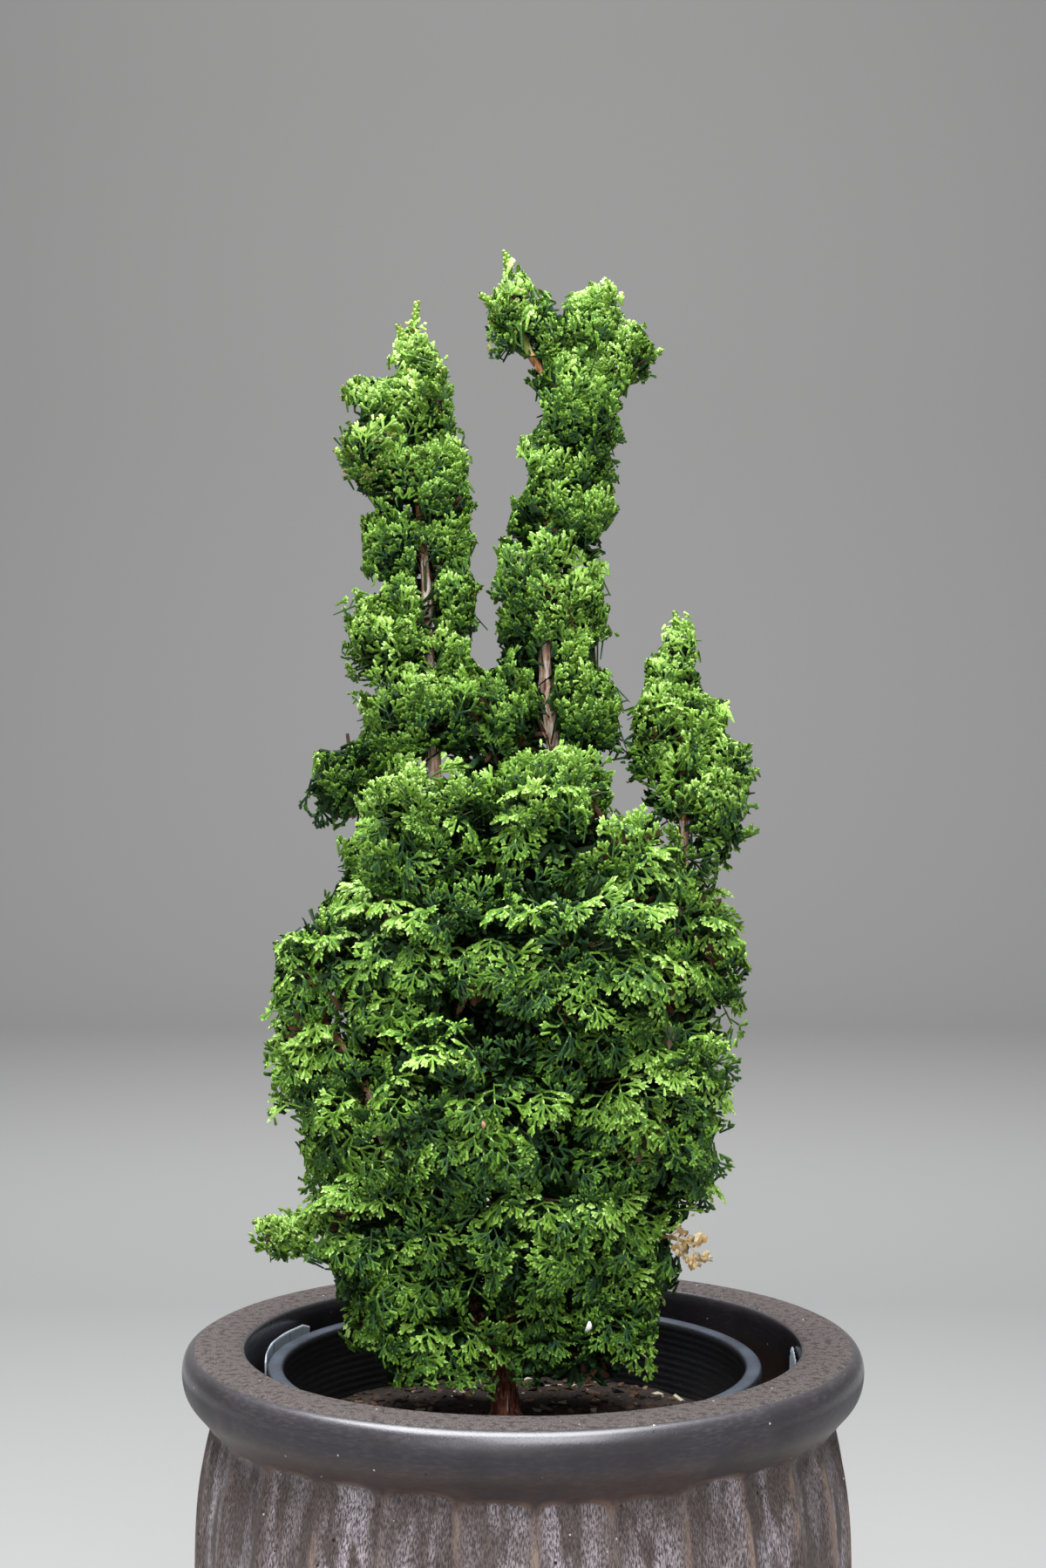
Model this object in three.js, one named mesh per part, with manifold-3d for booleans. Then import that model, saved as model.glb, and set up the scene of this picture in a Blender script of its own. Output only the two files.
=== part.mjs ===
// A dwarf cypress with three leaders, in a nursery pot that stands loose in a fluted, glazed planter.
// Millimetres, +Z up. The origin is the centre of the planter's flat underside, and the front is -Y.

import * as THREE from "three";
import { mergeVertices } from "three/addons/utils/BufferGeometryUtils.js";
import Module from "manifold-3d";

const wasm = await Module();
wasm.setup();

// Gap between neighbouring solids
const CLEARANCE = 0.3;

// Planter, with the radii of its ridges
const PLANTER = {
  height: 250,
  floor: 15,
  wall: 14,
  footRadius: 101,
  footBevel: 3,
  bellyRadius: 153,
  bellyHeight: 147,
  neckRadius: 144.6,
  neckHeight: 214,
  rimRadius: 157.4,
  shoulderRadius: 150,
  mouthRadius: 128.7,
  mouthBevel: 2,
  flutes: 28,
  fluteDepth: 3.8,
  fluteTop: 222,
  fluteFade: 16,
  firstRidge: 2,
  stepsPerFlute: 2,
};

// Nursery pot, which stands a little off the planter's centre
const NURSERY = {
  centreX: -4,
  height: 225,
  baseRadius: 88,
  wallRadius: 109.5,
  wall: 2.2,
  lipRadius: 115,
  lipDepth: 13,
  lipBevel: 1.6,
  sides: 32,
};

const SOIL = { top: 211, edgeDrop: 4, flatRadius: 26, lump: 1.6 };

// Slips of clear plastic that were left in the gap between the two pots, by angle from the front
const SLIP_THICKNESS = 0.8;
const SLIPS = {
  slip_left: { from: -124, to: -88, low: 226, high: 243, standOff: 6.5, point: 2 },
  slip_right: { from: 92.5, to: 98.5, low: 212, high: 250, standOff: 0, point: 9 },
};

const TRUNK = { footRadius: 7, forkRadius: 5.4, flare: 4.5, flareHeight: 7, fork: 241, sides: 12 };

// Limbs, by the points that they pass through. A leader's first point is sunk in the trunk's fork.
const LIMBS = {
  trunk: [
    [-8, 0, 211.3],
    [-8.6, -0.5, 224],
    [-11, -2, 241],
  ],
  centre_leader: [
    [-10.6, -1, 239],
    [-2, 2, 285],
    [12, 4, 366],
    [18, -4, 468],
    [14, -12, 527],
    [10, -14, 563],
    [14, -8, 613],
    [20, -4, 661],
    [26, 0, 700],
    [34, 3, 722],
  ],
  left_leader: [
    [-12.4, -3, 239],
    [-22, -8, 266],
    [-34, -14, 308],
    [-39, -16, 409],
    [-40, -18, 513],
    [-43, -16, 565],
    [-45, -14, 612],
    [-50, -8, 661],
    [-51, -4, 704],
  ],
  right_leader: [
    [-9.4, -3, 239],
    [16, 0, 272],
    [47, -2, 308],
    [60, -6, 355],
    [67, -10, 396],
    [69, -10, 428],
    [74, -12, 495],
    [72, -10, 529],
    [70, -8, 575],
  ],
  shoulder_stem: [
    [-13, -4.5, 239],
    [-38, -20, 286],
    [-61, -24, 340],
    [-75, -22, 379],
    [-91, -18, 402],
    [-94, -16, 424],
  ],
  rear_stem: [
    [-11.5, 1.5, 239],
    [-29, 24, 287],
    [-50, 38, 360],
    [-67, 42, 440],
    [-78, 38, 506],
  ],
  centre_branch: [
    [23, -2, 684],
    [12, -5, 695],
    [2, -6, 709],
    [-3, -4, 732],
  ],
};
// Radius at the foot and at the tip. A limb keeps its girth for long and thins towards the tip.
const LIMB_RADII = {
  centre_leader: [3.9, 1.1],
  left_leader: [3.7, 1.1],
  right_leader: [3.5, 1.1],
  shoulder_stem: [2.8, 1.1],
  rear_stem: [2.8, 1.1],
  centre_branch: [2, 1.2],
};
const LIMB_TAPER = 2.2;
const LIMB_SIDES = 6;
const LIMB_STEP = 50;

// Masses on the leaders: limb, height, offset to the right and back, half width, height and depth
const TUFTS = {
  left_tip: ["left_leader", 703, 1, 0, 15, 29, 15],
  left_neck: ["left_leader", 680, -6, 0, 32, 29, 23],
  left_head: ["left_leader", 654, -13, -2, 25, 29, 25],
  left_cheek: ["left_leader", 640, 7, 3, 22, 36, 25],
  left_collar: ["left_leader", 615, -11, 1, 23, 31, 25],
  left_arm: ["left_leader", 594, 9, 2, 22, 34, 24],
  left_elbow: ["left_leader", 572, -15, -1, 27, 35, 25],
  left_hip: ["left_leader", 539, -4, -2, 31, 35, 28],
  centre_tip: ["centre_branch", 721, -3, 0, 15, 32, 15],
  centre_crown: ["centre_leader", 713, -1, 2, 24, 30, 22],
  centre_wing: ["centre_leader", 707, 19, 2, 17, 18, 17],
  centre_neck: ["centre_leader", 674, 1, -2, 28, 40, 25],
  centre_collar: ["centre_leader", 631, 1, 0, 31, 38, 26],
  centre_elbow: ["centre_leader", 592, -1, 0, 29, 40, 26],
  centre_hip: ["centre_leader", 542, 13, 4, 27, 44, 29],
  centre_lap: ["centre_leader", 534, -22, 12, 31, 40, 30],
  right_tip: ["right_leader", 565, 1, 0, 18, 29, 17],
  right_neck: ["right_leader", 528, -8, 2, 23, 40, 24],
  right_shoulder: ["right_leader", 505, 10, 3, 29, 46, 29],
  rear_top: ["rear_stem", 514, -3, 0, 29, 38, 30],
  rear_low: ["rear_stem", 462, -3, -6, 25, 38, 27],
  shoulder_top: ["shoulder_stem", 425, 2, 2, 28, 32, 28],
  shoulder_side: ["shoulder_stem", 388, -13, 5, 25, 38, 27],
  crest: ["centre_leader", 489, -4, -18, 37, 42, 34],
  crest_left: ["left_leader", 482, -4, -12, 35, 43, 34],
  crest_right: ["right_leader", 466, -24, -14, 33, 44, 34],
  crest_back: ["centre_leader", 480, -12, 33, 44, 46, 36],
  spur: ["shoulder_stem", 309, -60, 6, 19, 12, 14],
};

// Rings of masses round the body: the height of their middle, how many there are, the angle of the
// first from the right, the crown's edges there, and the masses' half width and height
const RINGS = {
  chest: { height: 428, count: 5, turn: 0, left: -98, right: 110, depth: 90, wide: 54, tall: 50 },
  waist: { height: 368, count: 5, turn: 36, left: -119, right: 112, depth: 96, wide: 56, tall: 50 },
  skirt: { height: 312, count: 5, turn: 0, left: -113, right: 96, depth: 88, wide: 52, tall: 46 },
  foot: { height: 262, count: 4, turn: 45, left: -100, right: 83, depth: 80, wide: 44, tall: 42 },
};

// A dead, straw-coloured sprig low on the right
const DEAD_SPRIG = ["right_leader", 296, 41, -12, 9, 8, 9];

// Foliage: a mass's core, its stem and twigs, and the flat sprays that stand out of the core. The
// angles are in degrees, and a lift above zero turns sprays up, below zero down.
const FOLIAGE = {
  squareness: 3,
  leaderCore: 0.75,
  bodyCore: 0.7,
  coreLump: 0.3,
  stemRadius: 1.5,
  twigRadius: 0.7,
  sprayRoot: 0.7,
  sprayRoll: 90,
  sprayHub: 0.66,
  sprayWidth: 3.2,
  sprayFan: 170,
  sprayThickness: 2.2,
  sprayBow: 0.12,
  sprayTeeth: 3,
  sprayNotch: 0.55,
  leastHeight: 213,
  leaderLift: 0.5,
  bodyLift: -0.4,
  spread: 165,
  // Ways that a spray may be rolled, and how far it may reach, until it is clear of the others
  rolls: [0, 60, -60],
  reaches: [1, 0.86],
  sprayArea: 128,
  leastSprays: 5,
};

const COLOURS = {
  glaze: [0x575052, 0.34, 0.25],
  blackPlastic: [0x22262b, 0.5, 0],
  soil: [0x2a1d15, 0.95, 0],
  bark: [0x7a5a45, 0.85, 0],
  clearPlastic: [0xb9c2cc, 0.3, 0],
  fresh: [0x78a046, 0.7, 0],
  leaf: [0x4f7a38, 0.7, 0],
  shade: [0x3b5f36, 0.7, 0],
  straw: [0xc9ab78, 0.8, 0],
};

// Solids

// A closed geometry as a solid that can be joined and cut
function solid(geometry) {
  const bare = geometry.clone();
  bare.deleteAttribute("normal");
  bare.deleteAttribute("uv");
  const merged = mergeVertices(bare);
  const corners = merged.index.array;
  const kept = [];
  for (let i = 0; i < corners.length; i += 3) {
    const [a, b, c] = corners.slice(i, i + 3);
    if (a !== b && b !== c && c !== a) kept.push(a, b, c);
  }
  const vertProperties = merged.attributes.position.array;
  return new wasm.Manifold(
    new wasm.Mesh({ numProp: 3, vertProperties, triVerts: new Uint32Array(kept) }),
  );
}

function geometryOf(body) {
  const { vertProperties, triVerts } = body.getMesh();
  const geometry = new THREE.BufferGeometry();
  geometry.setAttribute("position", new THREE.BufferAttribute(vertProperties, 3));
  geometry.setIndex(new THREE.BufferAttribute(triVerts, 1));
  geometry.computeVertexNormals();
  return geometry;
}

// The biggest piece of a solid, without loose scraps and with its sealed hollows filled
function largest(body) {
  return body.decompose().sort((a, b) => b.volume() - a.volume())[0];
}

function join(bodies) {
  return wasm.Manifold.union(bodies);
}

// Moves each vertex of a geometry to where a function puts it
function reshape(geometry, place) {
  const position = geometry.attributes.position;
  const vertex = new THREE.Vector3();
  for (let i = 0; i < position.count; i += 1) {
    vertex.fromBufferAttribute(position, i);
    place(vertex);
    position.setXYZ(i, vertex.x, vertex.y, vertex.z);
  }
  return geometry;
}

// A seeded number from 0 to 1
function chance(seed, item) {
  const wave = Math.sin(seed * 12.9898 + item * 78.233) * 43758.5453;
  return wave - Math.floor(wave);
}

function turned(profile, sides, start = 0) {
  const points = profile.map(([radius, height]) => new THREE.Vector2(radius, height));
  return new THREE.LatheGeometry(points, sides, start).rotateX(Math.PI / 2);
}

// Planter

// The ridges' radius from the foot to the neck
function bellyRadius(height) {
  const { footRadius, bellyRadius: widest, bellyHeight, neckRadius, neckHeight } = PLANTER;
  if (height <= bellyHeight) {
    const rise = Math.sin((height / bellyHeight) * (Math.PI / 2));
    return footRadius + (widest - footRadius) * rise;
  }
  const climb = (height - bellyHeight) / (neckHeight - bellyHeight);
  return widest - (widest - neckRadius) * climb ** 2.2;
}

function planter() {
  const p = PLANTER;
  const outside = [
    [0, 0],
    [p.footRadius - p.footBevel, 0],
  ];
  for (const height of [p.footBevel, 72, p.bellyHeight, 197]) {
    outside.push([bellyRadius(height), height]);
  }
  const rim = [
    [p.neckRadius, p.neckHeight],
    [p.neckRadius + 4.2, p.fluteTop],
    [p.rimRadius - 2.6, 233],
    [p.rimRadius, 244],
    [p.rimRadius - 2.4, 248.6],
    [p.shoulderRadius, p.height],
    [p.mouthRadius + p.mouthBevel, p.height],
    [p.mouthRadius, p.height - p.mouthBevel],
  ];
  const inside = [197, 72, p.floor].map((height) => [
    Math.min(bellyRadius(height) - p.wall, p.mouthRadius + 8),
    height,
  ]);
  const sides = p.flutes * p.stepsPerFlute;
  const firstRidge = THREE.MathUtils.degToRad(p.firstRidge);
  const body = turned([...outside, ...rim, ...inside, [0, p.floor]], sides, firstRidge);
  return reshape(body, (vertex) => {
    const radius = Math.hypot(vertex.x, vertex.y);
    const outer = radius > bellyRadius(Math.min(vertex.z, p.neckHeight)) - p.wall / 2;
    if (!outer || vertex.z >= p.fluteTop) return;
    // A flute is an arc between two ridges, and it runs out under the rim and at the foot.
    const turn = (Math.atan2(vertex.x, -vertex.y) - firstRidge) / (Math.PI * 2);
    const across = (((turn * p.flutes) % 1) + 1) % 1;
    const fade = THREE.MathUtils.smoothstep(p.fluteTop - vertex.z, 0, p.fluteFade);
    const dent = p.fluteDepth * 4 * across * (1 - across) * fade;
    const scale = (radius - dent) / radius;
    vertex.x *= scale;
    vertex.y *= scale;
  });
}

// Nursery pot and soil

// The inner radius of the nursery pot at a height above the ground
function nurseryInside(height) {
  const { baseRadius, wallRadius, wall, height: tall } = NURSERY;
  const climb = (height - PLANTER.floor) / tall;
  return baseRadius + (wallRadius - baseRadius) * climb - wall;
}

function nurseryPot() {
  const n = NURSERY;
  const base = PLANTER.floor + CLEARANCE;
  const lip = PLANTER.floor + n.height;
  const profile = [
    [0, base],
    [n.baseRadius, base],
    [n.wallRadius, lip - n.lipDepth],
    [n.lipRadius - n.lipBevel, lip - n.lipDepth],
    [n.lipRadius, lip - n.lipDepth + n.lipBevel],
    [n.lipRadius, lip - n.lipBevel],
    [n.lipRadius - n.lipBevel, lip],
    [n.wallRadius - n.wall + n.lipBevel, lip],
    [n.wallRadius - n.wall, lip - n.lipBevel],
    [nurseryInside(base + n.wall), base + n.wall],
    [0, base + n.wall],
  ];
  return turned(profile, n.sides).translate(n.centreX, 0, 0);
}

function soil() {
  const { top, edgeDrop, flatRadius, lump } = SOIL;
  const { sides } = NURSERY;
  const bottom = PLANTER.floor + 2 * CLEARANCE + NURSERY.wall;
  const edge = nurseryInside(top - edgeDrop) - CLEARANCE;
  const profile = [
    [0, bottom],
    [nurseryInside(bottom) - 2 * CLEARANCE, bottom],
    [edge, top - edgeDrop],
    [edge * 0.8, top - edgeDrop / 2],
    [edge * 0.55, top - edgeDrop / 3],
    [flatRadius, top],
    [0, top],
  ];
  const heap = reshape(turned(profile, sides), (vertex) => {
    const radius = Math.hypot(vertex.x, vertex.y);
    if (vertex.z < top - edgeDrop || radius < flatRadius + 1 || radius > edge - 1) return;
    const side = Math.round(Math.atan2(vertex.y, vertex.x) * sides);
    vertex.z -= lump * chance(side, Math.round(radius));
  });
  return heap.translate(NURSERY.centreX, 0, 0);
}

// A thin upright strip that follows the gap between the pots. Its outer end stands off the nursery
// pot's lip, or it leans on the planter's wall where it has no stand-off.
function slip({ from, to, low, high, standOff, point }) {
  const onPlanter = standOff === 0;
  const columns = 6;
  const strip = new THREE.BoxGeometry(1, 1, 1, columns, 1, 1);
  return reshape(strip, (vertex) => {
    const along = vertex.x + 0.5;
    const angle = THREE.MathUtils.degToRad(to + (from - to) * along);
    const flare = onPlanter ? 0 : standOff * along ** 1.5;
    const inner = onPlanter
      ? PLANTER.mouthRadius - CLEARANCE - SLIP_THICKNESS
      : NURSERY.lipRadius + CLEARANCE + flare;
    const radius = inner + (vertex.y + 0.5) * SLIP_THICKNESS;
    const top = high - point * Math.abs(along - 0.35);
    vertex.z = vertex.z > 0 ? top : low;
    vertex.x = (onPlanter ? 0 : NURSERY.centreX) + radius * Math.sin(angle);
    vertex.y = -radius * Math.cos(angle);
  });
}

// Trunk and limbs

function limbPath(name) {
  return new THREE.CatmullRomCurve3(LIMBS[name].map((point) => new THREE.Vector3(...point)));
}

// A round limb that tapers along its path: radiusAt gives the radius from 0, its foot, to 1, its tip.
function limbSolid(name, sides, steps, radiusAt) {
  const path = limbPath(name);
  const circle = new THREE.Shape();
  for (let i = 0; i < sides; i += 1) {
    const angle = (i / sides) * Math.PI * 2;
    const corner = [Math.cos(angle), Math.sin(angle)];
    if (i === 0) circle.moveTo(...corner);
    else circle.lineTo(...corner);
  }
  const tube = new THREE.ExtrudeGeometry(circle, { extrudePath: path, steps });
  const centres = path.getSpacedPoints(steps);
  return solid(
    reshape(tube, (vertex) => {
      const gaps = centres.map((centre) => centre.distanceTo(vertex));
      const step = gaps.indexOf(Math.min(...gaps));
      vertex.sub(centres[step]).multiplyScalar(radiusAt(step / steps, vertex)).add(centres[step]);
      if (name === "trunk" && step === 0) vertex.z = LIMBS.trunk[0][2];
    }),
  );
}

function trunkSolid(grow) {
  const { footRadius, forkRadius, flare, flareHeight, fork, sides } = TRUNK;
  const steps = 6;
  return limbSolid("trunk", sides, steps, (along, outward) => {
    const height = along * (fork - SOIL.top);
    const buttress = 1 + 0.5 * Math.cos(3 * Math.atan2(outward.y, outward.x) + 0.6);
    const foot = flare * Math.exp(-height / flareHeight) * buttress;
    return footRadius + (forkRadius - footRadius) * along + foot + grow;
  });
}

function bough(name, grow) {
  const [foot, tip] = LIMB_RADII[name];
  const steps = Math.max(3, Math.round(limbPath(name).getLength() / LIMB_STEP));
  return limbSolid(
    name,
    LIMB_SIDES,
    steps,
    (along) => foot + (tip - foot) * along ** LIMB_TAPER + grow,
  );
}

// Each limb gives way to the limbs before it in the list.
function limbs() {
  const bodies = {};
  const taken = [];
  for (const name of Object.keys(LIMBS)) {
    const make = (grow) => (name === "trunk" ? trunkSolid(grow) : bough(name, grow));
    const whole = make(0);
    bodies[name] = taken.length ? largest(whole.subtract(join(taken))) : whole;
    taken.push(make(CLEARANCE));
  }
  return { bodies, grown: join(taken) };
}

// Masses of foliage

const PATH_SAMPLES = 200;

// The point of a limb at a height
function limbAt(name, height) {
  const points = limbPath(name).getSpacedPoints(PATH_SAMPLES);
  return points.reduce((best, point) =>
    Math.abs(point.z - height) < Math.abs(best.z - height) ? point : best,
  );
}

// Where a mass's stem leaves the limbs: near by, and rather below the mass than above it
function nearestLimbPoint(place) {
  const points = Object.keys(LIMBS).flatMap((name) => limbPath(name).getSpacedPoints(PATH_SAMPLES));
  const cost = (point) => point.distanceTo(place) + 2 * Math.max(0, point.z - place.z);
  return points.reduce((best, point) => (cost(point) < cost(best) ? point : best));
}

function massAt(name, centre, half, kind) {
  const lift = FOLIAGE[`${kind}Lift`];
  const core = FOLIAGE[`${kind}Core`];
  return { name, centre, half: new THREE.Vector3(...half), lift, core };
}

function tuft(name, [limb, height, right, back, wide, tall, deep]) {
  const centre = limbAt(limb, height).add(new THREE.Vector3(right, back, 0));
  centre.z = height;
  return massAt(name, centre, [wide, deep, tall], "leader");
}

function ringTufts(name, { height, count, turn, left, right, depth, wide, tall }) {
  const middle = (left + right) / 2;
  const reach = (right - left) / 2 - wide;
  return Array.from({ length: count }, (_, i) => {
    const angle = THREE.MathUtils.degToRad(turn + (i * 360) / count);
    const x = middle + reach * Math.cos(angle);
    const y = (depth - wide) * Math.sin(angle);
    const centre = new THREE.Vector3(x, y, height);
    return massAt(`${name}_${i + 1}`, centre, [wide, wide, tall], "body");
  });
}

// How far a mass reaches from its centre in a direction. Its form lies between a ball and a block.
function reachOf(mass, direction) {
  const power = FOLIAGE.squareness;
  const { x, y, z } = direction.clone().divide(mass.half);
  return (Math.abs(x) ** power + Math.abs(y) ** power + Math.abs(z) ** power) ** (-1 / power);
}

// The planes that part a mass from its neighbours, each as a direction and a distance from its centre
function cellOf(mass, masses) {
  const planes = [];
  for (const other of masses) {
    if (other === mass) continue;
    const toOther = other.centre.clone().sub(mass.centre);
    const gap = toOther.length();
    toOther.normalize();
    const own = reachOf(mass, toOther);
    const theirs = reachOf(other, toOther);
    if (gap > own + theirs + 4) continue;
    planes.push({ normal: toOther, distance: (gap * own) / (own + theirs) - CLEARANCE });
  }
  return planes;
}

function insideCell(mass, point) {
  const offset = point.clone().sub(mass.centre);
  if (point.z < FOLIAGE.leastHeight) return false;
  return mass.cell.every(({ normal, distance }) => offset.dot(normal) <= distance);
}

// How far the core reaches from its mass's centre before its lumps are made
function coreRadius(mass, direction) {
  let radius = reachOf(mass, direction) * mass.core;
  for (const { normal, distance } of mass.cell) {
    const slope = direction.dot(normal);
    if (slope > 0) radius = Math.min(radius, distance / slope);
  }
  return radius;
}

// The core is a lumpy ball, trimmed at the planes of its neighbours and clear of the soil.
function coreSolid(mass) {
  const ball = new THREE.IcosahedronGeometry(1, 0);
  let core = solid(
    reshape(ball, (vertex) => {
      const corner = Math.round(vertex.x * 50) + 101 * Math.round(vertex.z * 50);
      const lump = 1 + FOLIAGE.coreLump * (chance(mass.seed, corner) - 0.5);
      vertex.multiplyScalar(reachOf(mass, vertex) * mass.core * lump).add(mass.centre);
    }),
  );
  core = core.trimByPlane([0, 0, 1], FOLIAGE.leastHeight);
  for (const { normal, distance } of mass.cell) {
    const offset = normal.dot(mass.centre) + distance;
    core = core.trimByPlane([-normal.x, -normal.y, -normal.z], -offset);
  }
  return core;
}

// A flat spray: a toothed blade that is thickest at its hub and bows towards its outer teeth
function sprayGeometry(length, width) {
  const { sprayTeeth, sprayNotch, sprayThickness, sprayBow, sprayHub, sprayFan } = FOLIAGE;
  const hub = length * sprayHub;
  const edge = [[0, 0]];
  const last = 2 * sprayTeeth - 2;
  for (let i = 0; i <= last; i += 1) {
    const angle = THREE.MathUtils.degToRad(sprayFan * (i / last - 0.5));
    const reach = i % 2 === 0 ? 1 : sprayNotch;
    edge.push([
      (Math.sin(angle) * reach * width) / 2,
      hub + Math.cos(angle) * reach * (length - hub),
    ]);
  }
  const outline = edge.map(([x, y]) => new THREE.Vector3(x, y, -sprayBow * length * (y / length) ** 2));
  const faces = [sprayThickness / 2, -sprayThickness / 2];
  const [top, under] = faces.map((height) => new THREE.Vector3(0, hub, height));
  const triangles = outline.flatMap((corner, i) => {
    const next = outline[(i + 1) % outline.length];
    return [next, corner, top, corner, next, under];
  });
  return new THREE.BufferGeometry().setFromPoints(triangles);
}

// A three-sided twig from one point to another
function twigSolid(from, to, thick, thin) {
  const length = from.distanceTo(to);
  const twig = new THREE.CylinderGeometry(thin, thick, length, 3, 1).translate(0, length / 2, 0);
  const along = to.clone().sub(from).normalize();
  const turn = new THREE.Quaternion().setFromUnitVectors(new THREE.Vector3(0, 1, 0), along);
  return solid(twig.applyQuaternion(turn).translate(from.x, from.y, from.z));
}

// The direction of a mass's spray: each leaves the stem a golden angle after the last.
const GOLDEN_ANGLE = Math.PI * (3 - Math.sqrt(5));
function sprayDirection(mass, order, count) {
  const spread = 1 - Math.cos(THREE.MathUtils.degToRad(FOLIAGE.spread));
  const rise = 1 - (spread * order) / count;
  const around = order * GOLDEN_ANGLE + mass.seed;
  const across = Math.sqrt(1 - rise * rise);
  const local = new THREE.Vector3(Math.cos(around) * across, Math.sin(around) * across, rise);
  const turn = new THREE.Quaternion().setFromUnitVectors(new THREE.Vector3(0, 0, 1), mass.growth);
  return local.applyQuaternion(turn);
}

// A spray's root lies in the core, and its tip is lifted or droops as the mass's sprays do.
function placeSpray(mass, direction, share, roll) {
  const depth = coreRadius(mass, direction) * FOLIAGE.sprayRoot;
  const root = direction.clone().multiplyScalar(depth).add(mass.centre);
  const leaning = direction.clone().add(new THREE.Vector3(0, 0, mass.lift)).normalize();
  const tip = leaning.multiplyScalar(reachOf(mass, leaning) * share).add(mass.centre);
  const along = tip.clone().sub(root);
  const length = along.length();
  along.normalize();
  const face = direction.clone().addScaledVector(along, -direction.dot(along));
  if (face.length() < 0.05) face.set(0, -1, 0).addScaledVector(along, along.y);
  face.normalize().applyAxisAngle(along, roll);
  const side = new THREE.Vector3().crossVectors(along, face);
  const frame = new THREE.Matrix4().makeBasis(side, along, face).setPosition(root);
  const width = (FOLIAGE.sprayWidth * Math.sqrt(mass.half.x * mass.half.z)) / Math.sqrt(mass.sprays);
  return { blade: sprayGeometry(length, width).applyMatrix4(frame), root };
}

function fits(mass, geometry, blocked) {
  const position = geometry.attributes.position;
  for (let i = 0; i < position.count; i += 1) {
    if (!insideCell(mass, new THREE.Vector3().fromBufferAttribute(position, i))) return false;
  }
  return solid(geometry).intersect(blocked).isEmpty();
}

// A mass is one stem, twigs from it to the sprays, the sprays, and the core that they stand out of.
// A spray that would meet another is rolled about its twig, or shortened, and is left out at the last.
function massSolid(mass, blocked) {
  const core = coreSolid(mass);
  const pieces = [core, mass.stem];
  const sprays = [];
  const tries = FOLIAGE.reaches.flatMap((share) => FOLIAGE.rolls.map((roll) => [share, roll]));
  for (let order = 0; order < mass.sprays; order += 1) {
    const direction = sprayDirection(mass, order, mass.sprays);
    const first = FOLIAGE.sprayRoll * (chance(mass.seed, order) - 0.5);
    for (const [share, roll] of tries) {
      const { blade, root } = placeSpray(mass, direction, share, THREE.MathUtils.degToRad(first + roll));
      if (!fits(mass, blade, blocked)) continue;
      const spray = solid(blade);
      if (sprays.some((other) => !other.intersect(spray).isEmpty())) continue;
      sprays.push(spray);
      const base = mass.centre.clone().lerp(root, 0.1);
      pieces.push(twigSolid(base, root, FOLIAGE.twigRadius, FOLIAGE.twigRadius / 2));
      break;
    }
  }
  return join([...pieces, ...sprays]);
}

function allMasses() {
  const masses = Object.entries(TUFTS).map(([name, row]) => tuft(name, row));
  for (const [name, ring] of Object.entries(RINGS)) masses.push(...ringTufts(name, ring));
  masses.push(tuft("dead_sprig", DEAD_SPRIG));
  masses.forEach((mass, i) => {
    mass.seed = i + 1;
    const root = nearestLimbPoint(mass.centre);
    const outward = mass.centre.clone().sub(root);
    mass.growth = outward.clone().normalize().add(new THREE.Vector3(0, 0, 0.6)).normalize();
    if (outward.length() < 8 || mass.name.endsWith("tip")) mass.growth.set(0, 0, 1);
    mass.sprays = Math.round((mass.half.x * mass.half.z) / FOLIAGE.sprayArea) + FOLIAGE.leastSprays;
    const near = mass.centre.clone().lerp(root, 0.3);
    mass.stem = join([
      twigSolid(root, near, FOLIAGE.stemRadius, FOLIAGE.stemRadius * 0.8),
      twigSolid(near, mass.centre, FOLIAGE.stemRadius * 0.9, FOLIAGE.stemRadius * 0.6),
    ]);
    mass.grownStem = twigSolid(root, mass.centre, FOLIAGE.stemRadius * 1.5, FOLIAGE.stemRadius * 1.5);
  });
  masses.forEach((mass) => {
    mass.cell = cellOf(mass, masses);
  });
  return masses;
}

// Assembly

const root = new THREE.Group();

function add(name, geometry, [color, roughness, metalness]) {
  const material = new THREE.MeshStandardMaterial({ color, roughness, metalness });
  const mesh = new THREE.Mesh(geometry, material);
  mesh.name = name;
  root.add(mesh);
}

add("planter", planter(), COLOURS.glaze);
add("nursery_pot", nurseryPot(), COLOURS.blackPlastic);
add("soil", soil(), COLOURS.soil);
for (const [name, sizes] of Object.entries(SLIPS)) add(name, slip(sizes), COLOURS.clearPlastic);

const { bodies, grown } = limbs();
for (const [name, body] of Object.entries(bodies)) add(name, geometryOf(body), COLOURS.bark);

// The crown is fresher towards its top.
function massColour({ name, centre }) {
  if (name === "dead_sprig") return COLOURS.straw;
  if (centre.z > 500) return COLOURS.fresh;
  return centre.z > 400 ? COLOURS.leaf : COLOURS.shade;
}

// A mass gives way to the limbs and to the other masses' stems.
const masses = allMasses();
for (const mass of masses) {
  const others = masses.filter((other) => other !== mass).map((other) => other.grownStem);
  const whole = massSolid(mass, grown).subtract(grown).subtract(join(others));
  add(mass.name, geometryOf(largest(whole)), massColour(mass));
}

export default root;
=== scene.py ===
# %% [markdown]
# A dwarf false cypress in a black nursery pot, which stands inside a fluted stoneware planter.
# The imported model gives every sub-part its place and size. This lesson loads it first, and then
# gives each sub-part the surface that the real one has: glaze, moulded plastic, soil, bark, and
# flat sprays of scale leaves. All sizes are in metres, and a length given in millimetres is
# multiplied by MM.

# %% Load the frame
import math

import bpy
import numpy as np
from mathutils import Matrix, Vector, noise


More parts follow.
